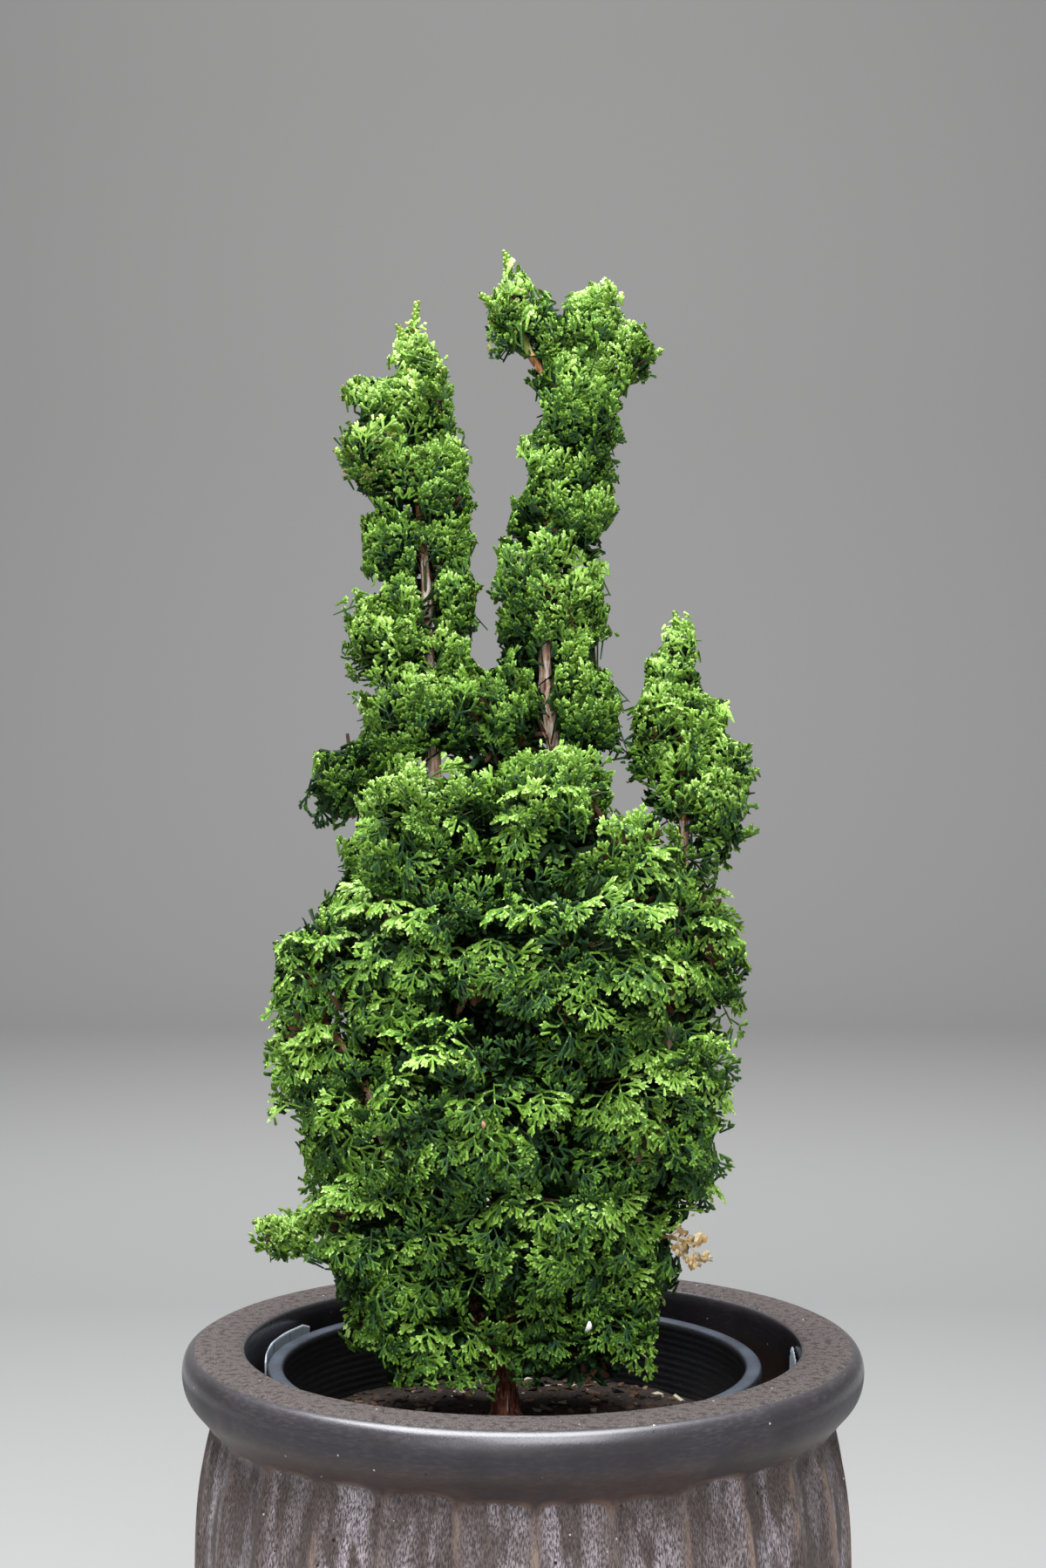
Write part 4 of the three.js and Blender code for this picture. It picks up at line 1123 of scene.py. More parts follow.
def fan_rows(rng, place, heading, radius, fingers, spread, plump, loose):
    """A fan of long fingers, each with a pair of short ones. loose lifts them out of its plane."""
    rows = []
    for lean in np.linspace(-spread / 2, spread / 2, fingers):
        turn = heading + lean + rng.uniform(-7, 7)
        lift = rng.normal(0, loose)
        length = radius * (1 - 0.22 * (2 * lean / spread) ** 2) * rng.uniform(0.85, 1.08)
        wide = FINGER_WIDTH * plump * rng.uniform(0.9, 1.12)
        thick = FINGER_THICK * plump
        rows.append((*place, turn, lift, length, wide, thick, MAIN))
        for side in (-1, 1):
            share = length * rng.uniform(0.38, 0.56)
            fork = turn + side * rng.uniform(24, 38)
            short = length * rng.uniform(0.36, 0.5)
            start = step_from(place, turn, share, lift)
            rows.append((*start, fork, lift + rng.normal(0, loose), short, wide * 0.95, thick, NUB))
    return rows


def frond_rows(rng, length, radius, laterals, fingers, spread, plump, ladder, loose):
    """The rows of a frond. ladder gives its side fans' headings at the foot and tip of its stalk."""
    rows = [(0, 0, 0, 0, 0, length, STALK_WIDTH, STALK_WIDTH, STALK)]
    for k in range(laterals):
        share = 0.1 + 0.78 * k / (laterals - 1) + rng.uniform(-0.04, 0.04)
        side = 1 if k % 2 else -1
        heading = side * (ladder[0] + (ladder[1] - ladder[0]) * share) + rng.uniform(-8, 8)
        stalk = radius * rng.uniform(0.4, 0.6)
        fork = (0, share * length, 0)
        rows.append((*fork, heading, 0, stalk * 1.1, STALK_WIDTH, STALK_WIDTH, STALK))
        size = radius * rng.uniform(0.85, 1.0)
        end = step_from(fork, heading, stalk)
        rows += fan_rows(rng, end, heading, size, fingers, spread, plump, loose)
    tip = (0, length * 0.97, 0)
    rows += fan_rows(rng, tip, 0, radius, fingers + 1, spread * 1.3, plump, loose)
    return np.array(rows)


# %% Bending a frond
def shell(points, bend, centre):
    """Lays flat points over a ball of radius bend that touches the plane at y = centre."""
    x = points[..., 0]
    y = points[..., 1] - centre
    out = np.maximum(np.hypot(x, y), 1e-9)
    angle = out / bend
    height = bend + points[..., 2]
    return np.stack([x / out * height * np.sin(angle), centre + y / out * height * np.sin(angle),
                     height * np.cos(angle) - bend], axis=-1)


# %% Fronds: broad ones for the body, tight ones for the leaders, and sparse ones for the inside
VARIANTS = 14
BROAD = {"length": 13 * MM, "radius": 10.8 * MM, "laterals": 4, "fingers": 3, "spread": 92,
         "plump": 0.90, "ladder": (88, 46), "loose": 8}
TIGHT = {"length": 13 * MM, "radius": 8.6 * MM, "laterals": 4, "fingers": 3, "spread": 102,
         "plump": 0.90, "ladder": (64, 36), "loose": 12}
SPARSE = {"length": 20 * MM, "radius": 13.0 * MM, "laterals": 4, "fingers": 3, "spread": 84,
          "plump": 1.7, "ladder": (80, 45), "loose": 14}
frond_rng = np.random.default_rng(11)
BROAD_FRONDS = [frond_rows(frond_rng, **BROAD) for _ in range(VARIANTS)]
TIGHT_FRONDS = [frond_rows(frond_rng, **TIGHT) for _ in range(VARIANTS)]
SPARSE_FRONDS = [rows[rows[:, KIND] != NUB] for rows in
                 (frond_rows(frond_rng, **SPARSE) for _ in range(VARIANTS))]
print("fingers in a broad frond:", len(BROAD_FRONDS[0]), "and in a tight one:", len(TIGHT_FRONDS[0]))

# %% [markdown]
# The greens are plain colours in separate material slots, from the blue green of hanging fans to
# the yellow green of young tips, and they also paint light and shade: each finger is given one of
# them by how much sky it sees, with its end a shade lighter, and the two palest hold a painted waxy
# sheen. The finish itself is slightly waxy, and covered with tiny scale leaves, which a fine cell
# pattern raises.

# %% Greens
# From painted shade to painted light; the two palest hold a painted sheen, and bronze and dead are the
# foliage's own colours.
GREENS = {
    "foliage_shaded": (0.009, 0.026, 0.005),
    "foliage_blue": (0.028, 0.080, 0.030),
    "foliage_deep": (0.052, 0.130, 0.025),
    "foliage_leaf": (0.100, 0.222, 0.020),
    "foliage_fresh": (0.178, 0.350, 0.036),
    "foliage_bright": (0.305, 0.525, 0.096),
    "foliage_tip": (0.455, 0.680, 0.195),
    "foliage_bronze": (0.480, 0.310, 0.110),
    "foliage_dead": (0.085, 0.045, 0.024),
}
SCALE_LEAF = 1100
SCALE_RELIEF = 0.0004
SCALE_STRENGTH = 0.6
# Lighter foliage is waxier.
DULLEST = 0.12
SHEEN = 0.45


def leaf_material(name, colour):
    """A waxy green whose relief is a pattern of small cells."""
    material, tree, shader = new_material(name, colour, 0.5)
    shader.inputs["Specular IOR Level"].default_value = DULLEST + SHEEN * colour[1]
    place = add(tree, "TexCoord").outputs["Object"]
    scales = add(tree, "TexVoronoi", {"Vector": place, "Scale": SCALE_LEAF}).outputs["Distance"]
    bump(tree, shader, scales, SCALE_RELIEF, SCALE_STRENGTH)
    return material


LEAVES = [leaf_material(name, colour) for name, colour in GREENS.items()]
BRONZE = len(LEAVES) - 2
DEAD = len(LEAVES) - 1
print("greens:", len(LEAVES))

# %% [markdown]
# A frond stands upright or lies level by its place. On the body it leaves its mass nearly level and
# arches over until its front fans hang. On the leaders the fronds climb steeply and stay plump. In
# between, both kinds are mixed. A frond is left out where it would lie deep in another mass, as
# nothing of it would show, and a few coarse fronds, dark with painted shade, fill the inside of each
# mass.

# %% Ways of growing
# Each way has its own fronds, the distance between them (cover), how far one runs back (long) and how
# deep its root lies (core). Then come how a frond leans, rolls, turns and bends, how much painted light
# it gets and how much its slope changes that, where its end lies (share), how deep in another mass it
# may lie (hidden), and where the mass's edge is and how ragged.
STYLES = {
    "body": {"fronds": BROAD_FRONDS, "cover": 14.8 * MM, "long": 21 * MM, "core": 0.7,
             "lean": (-0.55, 0.15), "roll": 24, "turn": 20, "bend": (12 * MM, 19 * MM), "light": 2.30,
             "slope": 1.7, "share": (0.84, 1.03), "hidden": 0.82, "edge": (0.94, 1.08),
             "ragged": 0.30},
    "leader": {"fronds": TIGHT_FRONDS, "cover": 12.6 * MM, "long": 19 * MM, "core": 0.75,
               "lean": (0.15, 1.0), "roll": 30, "turn": 24, "bend": (11 * MM, 24 * MM), "light": 3.40,
               "slope": 1.3, "share": (0.78, 1.06), "hidden": 0.80, "edge": (0.91, 1.05),
               "ragged": 0.70},
    "inner_body": {"fronds": SPARSE_FRONDS, "cover": 24.0 * MM, "long": 30 * MM, "core": 0.4,
                   "lean": (-0.3, 0.1), "roll": 40, "turn": 30, "bend": (30 * MM, 60 * MM),
                   "light": -0.6, "slope": 1.4, "share": (0.60, 0.78), "hidden": 0.60,
                   "edge": (0.74, 0.86), "ragged": 0.0},
    "inner_leader": {"fronds": SPARSE_FRONDS, "cover": 20.0 * MM, "long": 30 * MM, "core": 0.4,
                     "lean": (0.2, 0.6), "roll": 60, "turn": 30, "bend": (20 * MM, 50 * MM),
                     "light": 0.8, "slope": 1.2, "share": (0.45, 0.66), "hidden": 0.60,
                     "edge": (0.70, 0.82), "ragged": 0.0},
}
print("ways of growing:", ", ".join(STYLES))

# %% The crown's unevenness and light
INNER_SCALE = 30 * MM
# The crown's outline is ragged: in some directions a mass reaches less far.
RAGGED_FORMS = 2.8
# Painted shade: foliage deep in a mass is darker than foliage at its edge.
DEPTH_SHADE = 3.6
DEPTH_EVEN = 0.90
DEPTH_MOST = 1.06
# Painted light and shade: the sides of the crown are lighter than its middle.
SIDE_PAINTED_LIGHT = 0.9
SIDE_REACH = 0.105
# Fronds differ by chance, and from patch to patch.
FROND_SIZES = (0.85, 1.12)
FROND_TONE = 0.35
PATCH_TONE = 0.9
PATCH_FORMS = 30
# A finger's light is judged beyond its middle. Stalks and main fingers are darker than short ones,
# and every end is lighter.
JUDGED_AT = 0.6
FINGER_TONE = 0.3
KIND_TONES = (-1.4, -0.8, 0.3)
END_TONE = 1.6
# The heights between which the broad fronds give way to tight ones
CHANGE_OVER = (0.43, 0.55)
LEAST_HEIGHT = 0.236
BEND_CENTRE = 0.25
ROOT_SHARE = 0.7
# The tiers of the body rise and fall a little round the plant.
WAVE_HEIGHT = 15 * MM
WAVES_ACROSS = 19
WAVES_UP = 5
# Some tips of these masses are bronze.
BRONZE_SHARE = {"left_tip": 0.25, "left_head": 0.16, "left_neck": 0.08, "centre_tip": 0.06}
DEAD_SHARE = 0.07
print("bronze tips on:", ", ".join(BRONZE_SHARE))


# %% One frond
def surface_area(half):
    """The area of an ellipsoid with these half sizes, with a fifth more for its squarer form."""
    power = 1.6075
    a, b, c = half ** power
    return 1.2 * 4 * math.pi * ((a * b + a * c + b * c) / 3) ** (1 / power)


def rotated(vector, axis, degrees):
    """The vector turned about an axis."""
    angle = math.radians(degrees)
    along = axis * np.dot(axis, vector) * (1 - math.cos(angle))
    return vector * math.cos(angle) + np.cross(axis, vector) * math.sin(angle) + along


def wave(place):
    """How far the foliage at a place of the body is raised or lowered."""
    spot = Vector((place[0] * WAVES_ACROSS, place[1] * WAVES_ACROSS, place[2] * WAVES_UP))
    return WAVE_HEIGHT * noise.noise(spot) * smoothstep(CHANGE_OVER[1] - place[2], 0.0, 0.1)


def place_frond(mass, direction, style, rng):
    """A frond's outer end, and its sideways, forward and face directions. Its face looks out."""
    leaning = unit(direction + (0, 0, rng.uniform(*style["lean"])))
    root = direction * reach_of(mass, direction) * style["core"] * ROOT_SHARE
    uneven = noise.noise(Vector(direction * RAGGED_FORMS + mass["seed"]))
    ragged = 1 + style["ragged"] * min(0, uneven)
    tip = leaning * reach_of(mass, leaning) * rng.uniform(*style["share"]) * ragged
    forward = unit(tip - root)
    face = direction - forward * np.dot(direction, forward)
    if np.linalg.norm(face) < 0.05:
        face = np.array((0.0, -1.0, 0.0)) + forward * forward[1]
    face = rotated(unit(face), forward, rng.normal(0, style["roll"]))
    forward = rotated(forward, face, rng.normal(0, style["turn"]))
    return mass["centre"] + tip, np.array([np.cross(forward, face), forward, face])


def finger_greens(rows, bend, length, basis, style, glow, rng):
    """Two greens for each finger, along it and at its end, painted lighter the more its face looks up.
    """
    heading = np.radians(rows[:, HEADING])
    x = rows[:, X] + JUDGED_AT * rows[:, LENGTH] * np.sin(heading)
    y = rows[:, Y] + JUDGED_AT * rows[:, LENGTH] * np.cos(heading) - BEND_CENTRE * length
    out = np.maximum(np.hypot(x, y), 1e-9)
    fall = out / bend
    looks_up = np.sin(fall) * (x * basis[0][2] + y * basis[1][2]) / out + np.cos(fall) * basis[2][2]
    by_chance = rng.normal(0, FINGER_TONE, len(rows))
    green = style["light"] + style["slope"] * looks_up + glow + by_chance
    along = green + np.choose(rows[:, KIND].astype(int), KIND_TONES)
    both = np.stack([np.clip(along, 0, 5), np.clip(green + END_TONE, 1, 6)], axis=1)
    return np.round(both).astype(int)


# %% All fronds of a mass
def grow_fronds(mass, style, layer, share):
    """Fronds of one kind in a mass: for each its root, its fingers' points and their greens."""
    rng = np.random.default_rng(100 * layer + mass["seed"])
    count = round(surface_area(mass["half"]) / style["cover"] ** 2)
    grown = []
    for direction in directions(mass, count):
        tip, basis = place_frond(mass, direction, style, rng)
        rows = style["fronds"][rng.integers(VARIANTS)].copy()
        size = rng.uniform(*FROND_SIZES)
        if style["fronds"] is SPARSE_FRONDS:
            size *= min(1, mass["half"].min() / INNER_SCALE)
        bend = rng.uniform(*style["bend"])
        # Painted light and shade of the frond: a random tone, patches, darker deep in its mass, lighter
        # at the crown's sides.
        glow = rng.normal(0, FROND_TONE) + PATCH_TONE * noise.noise(Vector(tip) * PATCH_FORMS)
        glow += DEPTH_SHADE * (min(DEPTH_MOST, float(depth_in_own(mass, tip))) - DEPTH_EVEN)
        glow += SIDE_PAINTED_LIGHT * (min(1, abs(tip[0]) / SIDE_REACH) - 0.5)
        taken = rng.random() < share
        if not taken or tip[2] < LEAST_HEIGHT or depth_in_others(mass, tip) < style["hidden"]:
            continue
        root = tip - basis[1] * style["long"] * size
        rows[:, [X, Y, Z, LENGTH, WIDTH, THICK]] *= size
        length = rows[0, LENGTH]
        points = root + shell(finger_points(rows), bend, BEND_CENTRE * length) @ basis
        green = finger_greens(rows, bend, length, basis, style, glow, rng)
        if style["fronds"] is SPARSE_FRONDS and rng.random() < DEAD_SHARE:
            green[:] = DEAD
        grown.append((root, points, green))
    return grown


def grow_mass(mass):
    """All fronds of a mass, with each of their fingers that may stay."""
    tight = float(smoothstep(mass["centre"][2], *CHANGE_OVER)) if mass["name"] != "spur" else 1.0
    shares = {"body": 1 - tight, "leader": tight, "inner_body": 1 - tight, "inner_leader": tight}
    kept = []
    for layer, (kind, share) in enumerate(shares.items()):
        for root, points, green in grow_fronds(mass, STYLES[kind], layer + 1, share):
            lift = (0, 0, wave(root))
            keep = within_space(mass, points, STYLES[kind]["edge"])
            keep &= (points[:, END, 2] > LEAST_HEIGHT) & clear_of_limbs(points)
            keep &= ~in_window(points + lift)
            if keep.mean() > LEAST_KEPT:
                kept.append((root + lift, points[keep] + lift, green[keep]))
    return kept


# %% [markdown]
# Some places have to stay open. Fingers keep off the limbs, foliage in front leaves the bare
# stretches of bark in sight, and the openings in the crown and the notches in its outline stay free.
# Each place is an ellipse as the camera sees it, read in the photograph, and a finger that
# would end inside it is left out.

# %% Places that stay open
LIMB_MARGIN = 1.0 * MM
LIMB_SEARCH = 10 * MM
# A frond that keeps less than this share of its fingers is left out.
LEAST_KEPT = 0.5
# Places in the photograph where bark shows: across, down and half sizes, in its pixels
BARE_BARK = [
    (488, 655, 11, 34), (494, 705, 11, 20), (497, 751, 10, 13), (500, 833, 10, 12), (500, 877, 11, 16),
    (470, 570, 12, 8), (480, 586, 10, 10), (625, 765, 12, 34), (631, 836, 12, 24), (600, 390, 8, 16),
    (614, 420, 9, 10), (632, 438, 9, 8), (774, 845, 6, 24), (779, 890, 6, 22), (783, 935, 8, 8),
    (769, 1118, 7, 13), (767, 1190, 8, 12), (750, 1272, 7, 18), (546, 1505, 9, 16), (578, 1588, 9, 20),
]
# The same for the places where the background shows through
OPEN_SKY = [(392, 1188, 11, 15), (559, 742, 18, 26), (553, 696, 7, 20), (554, 645, 16, 24),
            (712, 905, 7, 36), (724, 770, 15, 42), (719, 828, 8, 30)]
# Notches in the crown's outline: on the left leader, the centre one, the right one and the body
NOTCHES = [(392, 410, 28, 24), (438, 423, 24, 12), (390, 472, 27, 13), (397, 573, 16, 21),
           (416, 580, 15, 9), (392, 628, 24, 50), (423, 670, 17, 11), (372, 826, 46, 36),
           (338, 875, 20, 39), (535, 470, 12, 21), (548, 549, 10, 24), (590, 545, 17, 24),
           (727, 349, 16, 13), (751, 375, 12, 16), (659, 325, 13, 9), (727, 480, 13, 32),
           (719, 565, 13, 21), (714, 709, 17, 18), (708, 768, 10, 13), (812, 759, 13, 18),
           (851, 817, 15, 16), (880, 865, 16, 18), (883, 902, 22, 21), (361, 992, 34, 37),
           (324, 1049, 34, 20), (302, 1105, 12, 31), (330, 1295, 14, 24), (867, 1046, 16, 16),
           (836, 1311, 17, 17), (799, 1480, 24, 28), (771, 1524, 14, 31), (408, 1590, 37, 44),
           (486, 1616, 75, 25), (577, 529, 9, 12), (326, 1311, 16, 15), (299, 1072, 13, 15),
           (640, 340, 11, 27), (632, 314, 20, 20), (598, 470, 24, 29), (568, 580, 17, 38),
           (735, 455, 24, 14), (716, 521, 17, 9), (716, 618, 27, 23), (716, 671, 24, 30),
           (705, 749, 29, 18), (735, 732, 23, 23), (819, 740, 18, 20), (830, 781, 26, 20),
           (857, 831, 27, 21), (329, 1335, 20, 20), (819, 1427, 48, 36), (363, 1479, 20, 34)]
# What stands clear in front: the dead sprig, and its distance from the camera
CLEAR_FRONT = [(786, 1431, 23, 22, 1.20)]
ANY_DEPTH = 9.0


def in_photo(points):
    """Where points lie in the photograph, in its pixels, and how far they are from the camera."""
    far = points[..., 1] - CAMERA_PLACE[1]
    down = np.arctan((CAMERA_PLACE[2] - points[..., 2]) / far) - math.radians(CAMERA_DOWN)
    across = PICTURE_WIDTH / 2 + FOCAL_PIXELS * points[..., 0] / far
    return across, PICTURE_HEIGHT / 2 + FOCAL_PIXELS * np.tan(down), far


LIMB_VIEW = in_photo(LIMB_POINTS)


def window_depth(x, y):
    """How far the limb nearest to a place in the photograph is from the camera."""
    return LIMB_VIEW[2][np.argmin(np.hypot(LIMB_VIEW[0] - x, LIMB_VIEW[1] - y))]


WINDOWS = [(*window, window_depth(*window[:2])) for window in BARE_BARK]
WINDOWS += [(*window, ANY_DEPTH) for window in OPEN_SKY + NOTCHES] + CLEAR_FRONT
print("places that stay open:", len(WINDOWS))


# %% Which fingers may stay
def inside_ellipse(x, y, window):
    """True for each place in the photograph that lies inside a window's ellipse."""
    across, down, half_x, half_y = window[:4]
    return ((x - across) / half_x) ** 2 + ((y - down) / half_y) ** 2 < 1


def in_window(points):
    """True for each finger that would hide a bare stretch or fill an open place."""
    hides = np.zeros(len(points), dtype=bool)
    for corner in (END_RIDGE, END):
        x, y, far = in_photo(points[:, corner])
        for window in WINDOWS:
            hides |= inside_ellipse(x, y, window) & (far < window[4])
    return hides


def crosses_opening(path):
    """True when a line crosses an opening or a notch as the camera sees it."""
    x, y, _ = in_photo(path)
    return any(inside_ellipse(x, y, window).any() for window in OPEN_SKY + NOTCHES)


def clear_of_limbs(points):
    """True for each finger whose foot and end stay off every limb."""
    clear = np.ones(len(points), dtype=bool)
    for corner in (FOOT_RIDGE, END):
        spots = points[:, corner]
        low = spots.min(axis=0) - LIMB_SEARCH
        high = spots.max(axis=0) + LIMB_SEARCH
        near = np.all((LIMB_POINTS > low) & (LIMB_POINTS < high), axis=1)
        for place, thick in zip(LIMB_POINTS[near], LIMB_THICK[near]):
            clear &= np.linalg.norm(spots - place, axis=1) > thick + LIMB_MARGIN
    return clear


def within_space(mass, points, edge):
    """True for each finger that ends inside its mass's space, whose edge is a little uneven."""
    low, high = edge
    uneven = chance(mass["seed"], np.arange(len(points)))
    return depth_in_own(mass, points[:, END]) < low + (high - low) * uneven


# %% Faces and slots of fingers
def finger_faces(count):
    """The faces of many fingers: the quads of all of them first, and then their triangles."""
    start = (np.arange(count) * FINGER_POINTS)[:, None, None]
    quads = (start + FINGER_QUADS[None]).reshape(-1, 4)
    triangles = (start + FINGER_TRIANGLES[None]).reshape(-1, 3)
    return [quads, triangles]


def slots_of_faces(along, ends):
    """A slot for each face, in the same order: one along each finger and one at its end."""
    return np.concatenate([np.repeat(along, len(FINGER_QUADS)), np.repeat(ends, len(FINGER_TRIANGLES))])


def leaf_slots(mass_of, greens):
    """The finger's green along it, and a lighter or bronze one at its end."""
    along, ends = greens.T
    bronze = np.array([BRONZE_SHARE.get(name, 0) for name in mass_of])
    ends = np.where(chance(7, np.arange(len(greens))) < bronze, BRONZE, ends)
    return slots_of_faces(along, ends)


# %% Foliage: which masses make each piece
REGIONS = {
    "left_leader_sprays": ("left_",),
    "centre_top_sprays": ("centre_tip", "centre_crown", "centre_wing", "centre_neck"),
    "centre_leader_sprays": ("centre_collar", "centre_elbow", "centre_hip", "centre_lap"),
    "right_leader_sprays": ("right_",), "shoulder_sprays": ("shoulder_",),
    "rear_sprays": ("rear_",), "crest_sprays": ("crest",), "spur_sprays": ("spur",),
    "chest_sprays": ("chest_",), "waist_sprays": ("waist_",), "skirt_sprays": ("skirt_",),
    "foot_sprays": ("foot_",),
}
print("pieces of foliage:", len(REGIONS))

# %% Slender shoots
# At the ends of the crown: the mass, the shoot's top and foot, in mm
SHOOTS = [
    ("left_tip", (-48.5, -5, 731), (-51, -4, 711)), ("left_tip", (-57, -7, 719), (-54, -5, 707)),
    ("left_neck", (-80, -4, 694), (-72, -6, 686)), ("left_head", (-85, -18, 661), (-77, -17, 655)),
    ("centre_tip", (-8, -6, 753), (-6, -5, 740)), ("centre_tip", (-19, -8, 733), (-13, -6, 727)),
    ("centre_crown", (34, 0, 739), (33, 1, 728)), ("centre_wing", (64, 0, 709), (56, 1, 704)),
    ("right_tip", (70, -10, 588), (71, -9, 574)), ("spur", (-124, -13, 308), (-111, -14, 307)),
    ("shoulder_top", (-92, -14, 452), (-91, -15, 442)), ("spur", (-117, -20, 311), (-108, -18, 309)),
]
BEAD_STEP = 2.2 * MM
BEADS_PER_STEP = 3
BEAD_LENGTH = 3.6 * MM
BEAD_PLUMP = 1.3
BEAD_REACH = 0.86
BEAD_LEAN = 30
BEAD_TURN = 137.5
SHOOT_GREENS = (4, 6)
print("slender shoots:", len(SHOOTS))


def beaded_shoot(top, foot):
    """Short plump fingers in a spiral round an upright line, like beads."""
    line = np.array(top) - np.array(foot)
    count = max(3, round(np.linalg.norm(line) * MM / BEAD_STEP)) * BEADS_PER_STEP
    forward = unit(line.astype(float))
    side = unit(np.cross(forward, (0.1, -1.0, 0.2)))
    beads = []
    for step in range(count):
        start = np.array(foot) * MM + line * MM * step / count * BEAD_REACH
        face = rotated(side, forward, BEAD_TURN * step)
        lean = BEAD_LEAN * (1 - step / count)
        row = np.array([[0, 0, 0, 0, lean, BEAD_LENGTH, FINGER_WIDTH, FINGER_THICK * BEAD_PLUMP, MAIN]])
        basis = np.array([np.cross(forward, face), forward, face])
        beads.append(start + finger_points(row) @ basis)
    return np.concatenate(beads)


# %% Foliage: the pieces
frond_roots = []
total = 0
for piece_name, starts in REGIONS.items():
    members = [mass for mass in MASSES + BRIDGES if mass["name"].startswith(starts)]
    fingers = []
    greens = []
    owners = []
    for mass in members:
        for root, points, green in grow_mass(mass):
            fingers.append(points)
            greens.append(green)
            owners += [mass["name"]] * len(green)
            frond_roots.append((mass, root))
    for owner, top, foot in SHOOTS:
        if owner.startswith(starts):
            fingers.append(beaded_shoot(top, foot))
            greens.append(np.tile(SHOOT_GREENS, (len(fingers[-1]), 1)))
            owners += [owner] * len(fingers[-1])
    count = sum(len(part) for part in fingers)
    slots = leaf_slots(owners, np.concatenate(greens))
    points = np.concatenate(fingers).reshape(-1, 3)
    piece = object_from_arrays(piece_name, points, finger_faces(count), LEAVES, slots)
    on_model(piece, "foliage", *dict.fromkeys(mass["name"] for mass in members))
    total += (2 * len(FINGER_QUADS) + len(FINGER_TRIANGLES)) * count
print("fronds:", len(frond_roots), "and triangles in all the foliage:", total)

# %% [markdown]
# Thin wood carries most fronds. A bough leaves the nearest limb for the middle of its mass and runs
# on a little, and a twig with three sides bends from it to the foot of each frond that starts well
# inside its mass, unless that twig would be long or cross an opening. Both are joined into one mesh.
# Young twigs are green, and the boughs that they come from are brown.

# %% Thin tubes
BOUGH_RADII = (1.5 * MM, 0.8 * MM)
TWIG_RADII = (0.7 * MM, 0.4 * MM)
BOUGH_SIDES = 6
TWIG_SIDES = 3
BOUGH_STEPS = 12
TWIG_STEPS = 4
BOUGH_REACH = 0.45
BOUGH_SAG = 0.15
TWIG_SAG = 0.12
TWIG_DEPTH = 0.85
LONGEST_TWIG = 45 * MM
# A twig leaves its bough below its frond rather than above.
COST_OF_FALL = 1.5
# Its first stretch is brown and the rest green.
TWIG_SLOTS = [0] * TWIG_SIDES + [1] * (TWIG_STEPS - 2) * TWIG_SIDES


def bent_line(start, middle, end, steps):
    """Points on a curve from start to end that is drawn towards the middle."""
    t = np.linspace(0, 1, steps)[:, None]
    return (1 - t) ** 2 * start + 2 * t * (1 - t) * middle + t ** 2 * end


def thin_tube(path, radii, sides):
    """Points and faces of a tube that tapers along its path."""
    radius = np.linspace(*radii, len(path))[:, None, None]
    points = path[:, None] + ring_directions(path, sides) * radius
    return points.reshape(-1, 3), grid_faces(len(path), sides)


def join_tubes(tubes):
    """The points and faces of many tubes as one mesh."""
    starts = np.cumsum([0] + [len(points) for points, _ in tubes])
    faces = [part + start for (_, part), start in zip(tubes, starts)]
    return np.concatenate([points for points, _ in tubes]), np.concatenate(faces)


# %% Boughs and twigs
tubes = []
slots = []
boughs = {}
for mass in MASSES:
    reach = mass["centre"] + mass["growth"] * mass["half"] * BOUGH_REACH
    middle = mass["centre"] + (0, 0, -BOUGH_SAG * mass["half"][2])
    path = bent_line(mass["root"], middle, reach, BOUGH_STEPS)
    path += (0, 0, wave(mass["centre"])) * np.linspace(0, 1, BOUGH_STEPS)[:, None]
    boughs[mass["name"]] = path
    tubes.append(thin_tube(path, BOUGH_RADII, BOUGH_SIDES))
    slots += [0] * len(tubes[-1][1])
for mass, root in frond_roots:
    path = boughs[mass["name"]]
    if depth_in_own(mass, root) > TWIG_DEPTH:
        continue
    gap = np.linalg.norm(path - root, axis=1) + COST_OF_FALL * np.maximum(0, path[:, 2] - root[2])
    start = path[np.argmin(gap)]
    length = np.linalg.norm(root - start)
    line = bent_line(start, (start + root) / 2 + (0, 0, -TWIG_SAG * length), root, TWIG_STEPS)
    if length > LONGEST_TWIG or crosses_opening(line):
        continue
    tubes.append(thin_tube(line, TWIG_RADII, TWIG_SIDES))
    slots += TWIG_SLOTS
points, faces = join_tubes(tubes)
TWIG_BARK = [fibrous("twig_brown", (0.115, 0.060, 0.032), 0.8),
             fibrous("twig_green", (0.085, 0.120, 0.035), 0.7)]
on_model(object_from_arrays("boughs_and_twigs", points, [faces], TWIG_BARK, slots), "bark")
print("boughs:", len(boughs), "twigs:", len(tubes) - len(boughs))

# %% [markdown]
# The old bark peels in short narrow shreds, some pale, some tan and some dark. Each is a finger's
# form, laid along the limb with its free end lifted off.

# %% Shreds of bark
SHREDS_PER_POINT = 1.5
SHRED_THICK = 0.4 * MM
SHRED_SEAT = 0.9
SHREDS = {"shred_pale": (0.88, 0.72, 0.60), "shred_tan": (0.56, 0.33, 0.22),
          "shred_dark": (0.15, 0.060, 0.038)}
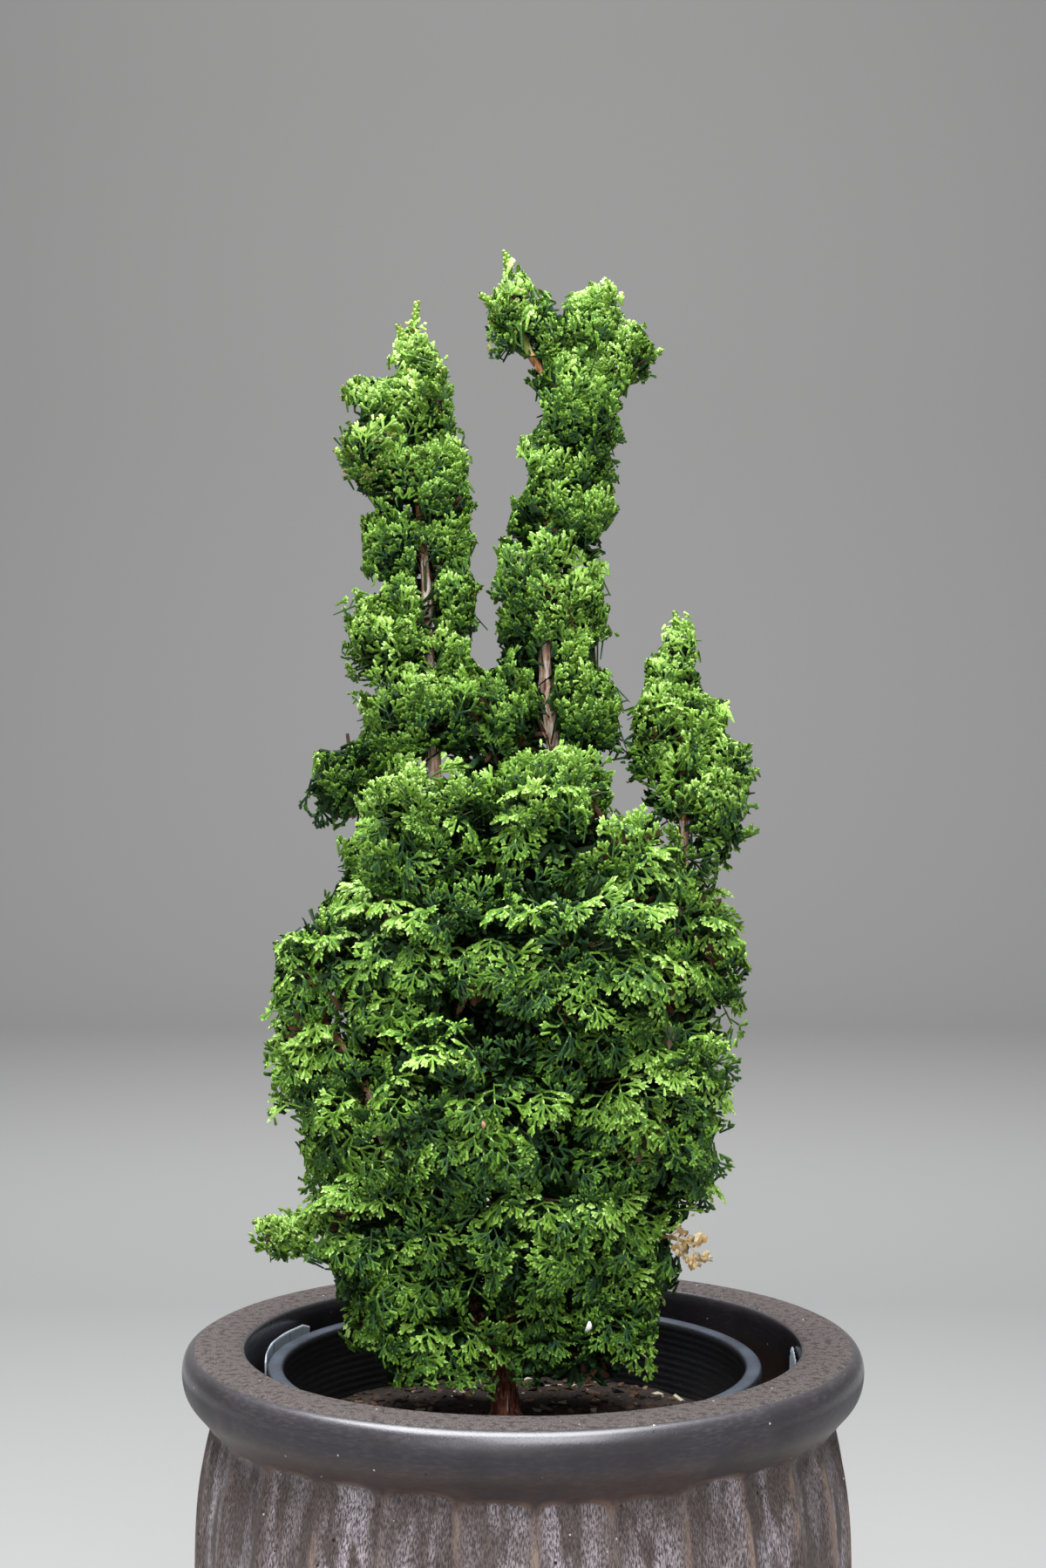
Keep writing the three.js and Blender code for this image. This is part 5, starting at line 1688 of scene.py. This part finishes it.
# The share of each colour on the upper bark, and on the shaded bark
SHRED_SHARES = ((0.58, 0.28, 0.14), (0.10, 0.40, 0.50))
shred_rng = np.random.default_rng(8)
shreds = []
shred_slots = []
for name in LIMBS:
    path = PATHS[name]
    across, over = path_frames(path)
    thick = limb_radius(name, path)
    spots = shred_rng.integers(1, len(path) - 1, round(SHREDS_PER_POINT * len(path)))
    for spot in spots[path[spots, 2] < YOUNG_ABOVE[name] - COPPER_LENGTH]:
        angle = shred_rng.uniform(0, 2 * math.pi)
        out = math.cos(angle) * across[spot] + math.sin(angle) * over[spot]
        along = unit(path[spot + 1] - path[spot - 1]) * shred_rng.choice((-1, 1))
        heading = shred_rng.normal(0, 10)
        lift = shred_rng.uniform(2, 16)
        length = shred_rng.uniform(3, 8) * MM
        width = shred_rng.uniform(0.7, 1.4) * MM
        row = np.array([[0, 0, 0, heading, lift, length, width, SHRED_THICK, MAIN]])
        basis = np.array([np.cross(along, out), along, out])
        shreds.append(path[spot] + out * thick[spot] * SHRED_SEAT + finger_points(row) @ basis)
        shaded = int(path[spot, 2] < SHADED_BELOW)
        shred_slots.append(shred_rng.choice(len(SHREDS), p=SHRED_SHARES[shaded]))
points = np.concatenate(shreds).reshape(-1, 3)
SHRED_BARK = [fibrous(name, colour, 0.85) for name, colour in SHREDS.items()]
slots = slots_of_faces(shred_slots, shred_slots)
shred_piece = object_from_arrays("bark_shreds", points, finger_faces(len(shreds)), SHRED_BARK, slots)
on_model(shred_piece, "bark")

# %% [markdown]
# Low on the right a sprig has died. It is straw coloured, its fingers have curled, and it points
# down and outwards. A pale flake and a tan one have caught in the foliage in front.

# %% Dead sprig
STRAWS = [fibrous("straw_dark", (0.560, 0.350, 0.140), 0.7),
          fibrous("straw", (0.760, 0.540, 0.250), 0.7),
          fibrous("straw_pale", (0.900, 0.760, 0.500), 0.7)]
SPRIG = {"length": 8 * MM, "radius": 6.4 * MM, "laterals": 3, "fingers": 3, "spread": 80,
         "plump": 1.55, "ladder": (70, 40), "loose": 22}
sprig_rng = np.random.default_rng(5)
# Each part of the sprig: the place of its foot, where it points, and the way that it faces, in mm
SPRIG_PARTS = [((67, -28, 305), (0.8, -0.25, -0.35), (-0.2, -1, 0.5)),
               ((75, -31, 301), (0.75, -0.3, -0.65), (0.1, -1, 0.4)),
               ((70, -25, 303), (0.7, 0.1, -0.4), (-0.3, -0.8, 0.6))]
# Its stalk: start, bend and end
SPRIG_STALK = ((50, -8, 296), (60, -18, 305), (73, -30, 302))
SPRIG_BEND = 9 * MM


def curled_frond(place, forward, face, bend):
    """Fingers of a dead frond with its foot at a place, in model space."""
    forward = unit(np.array(forward, dtype=float))
    face = np.array(face, dtype=float)
    face = unit(face - forward * np.dot(face, forward))
    rows = frond_rows(sprig_rng, **SPRIG)
    basis = np.array([np.cross(forward, face), forward, face])
    return np.array(place) * MM + shell(finger_points(rows), bend, 0) @ basis


points = np.concatenate([curled_frond(*part, SPRIG_BEND) for part in SPRIG_PARTS])
straw_of = np.floor(chance(3, np.arange(len(points))) * len(STRAWS)).astype(int)
quads, ends = finger_faces(len(points))
stalk_line = bent_line(*(np.array(place) * MM for place in SPRIG_STALK), BOUGH_STEPS)
stalk, stalk_faces = thin_tube(stalk_line, BOUGH_RADII, BOUGH_SIDES)
faces = [np.concatenate([quads, stalk_faces + points.size // 3]), ends]
slots = np.concatenate([np.repeat(straw_of, len(FINGER_QUADS)), np.zeros(len(stalk_faces), dtype=int),
                        np.repeat(straw_of, len(FINGER_TRIANGLES))])
points = np.concatenate([points.reshape(-1, 3), stalk])
on_model(object_from_arrays("dry_sprig", points, faces, STRAWS, slots), "dead_foliage", "dead_sprig")

# %% Flakes
# A flake is a bent scrap: its place, length and width in mm, its turn in degrees, and its colour
FLAKES = {"pale_flake": ((28.6, -86, 276), 4.8, 2.4, 70, (0.86, 0.84, 0.78)),
          "tan_flake": ((-17, -86, 364), 3.8, 1.9, 100, (0.50, 0.30, 0.15))}
FLAKE_STEPS = 7
FLAKE_SIDES = 6


def bent_scrap(length, width, turn):
    """A small curved sheet with a thickness, its points and faces."""
    along = np.linspace(-1, 1, FLAKE_STEPS)[:, None]
    half = width / 2 * np.sqrt(np.maximum(0.06, 1 - along ** 2))
    side = np.array([[-1, 0, 1, 1, 0, -1]])
    thick = np.array([[0.0, 0.4, 0.0, -0.3, 0.1, -0.3]])
    x = along * length / 2 * np.ones_like(side)
    z = half * side + 0.25 * width * along ** 2
    y = -thick + 0.9 * along ** 2 + 0.25 * side ** 2
    angle = math.radians(turn)
    across = x * math.cos(angle) - z * math.sin(angle)
    up = x * math.sin(angle) + z * math.cos(angle)
    points = np.stack([across, y, up], axis=-1)
    ring = np.arange(FLAKE_SIDES)
    caps = np.array([ring[::-1], ring + FLAKE_SIDES * (FLAKE_STEPS - 1)])
    return points.reshape(-1, 3), [grid_faces(FLAKE_STEPS, FLAKE_SIDES), caps]


for name, (place, length, width, turn, colour) in FLAKES.items():
    points, faces = bent_scrap(length, width, turn)
    scrap = object_from_arrays(name, (points + place) * MM, faces, [fibrous(name, colour, 0.8)])
    on_model(scrap, "dead_foliage")

# %% [markdown]
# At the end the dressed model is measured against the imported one.

# %% Sizes
low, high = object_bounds()
sizes = {"cad": [list(cad_low), list(cad_high)], "visual": [list(low), list(high)]}
print("grown by", [round((a - b) / MM, 1) for a, b in zip(high, cad_high)], "mm above and",
      [round((b - a) / MM, 1) for a, b in zip(low, cad_low)], "mm below")
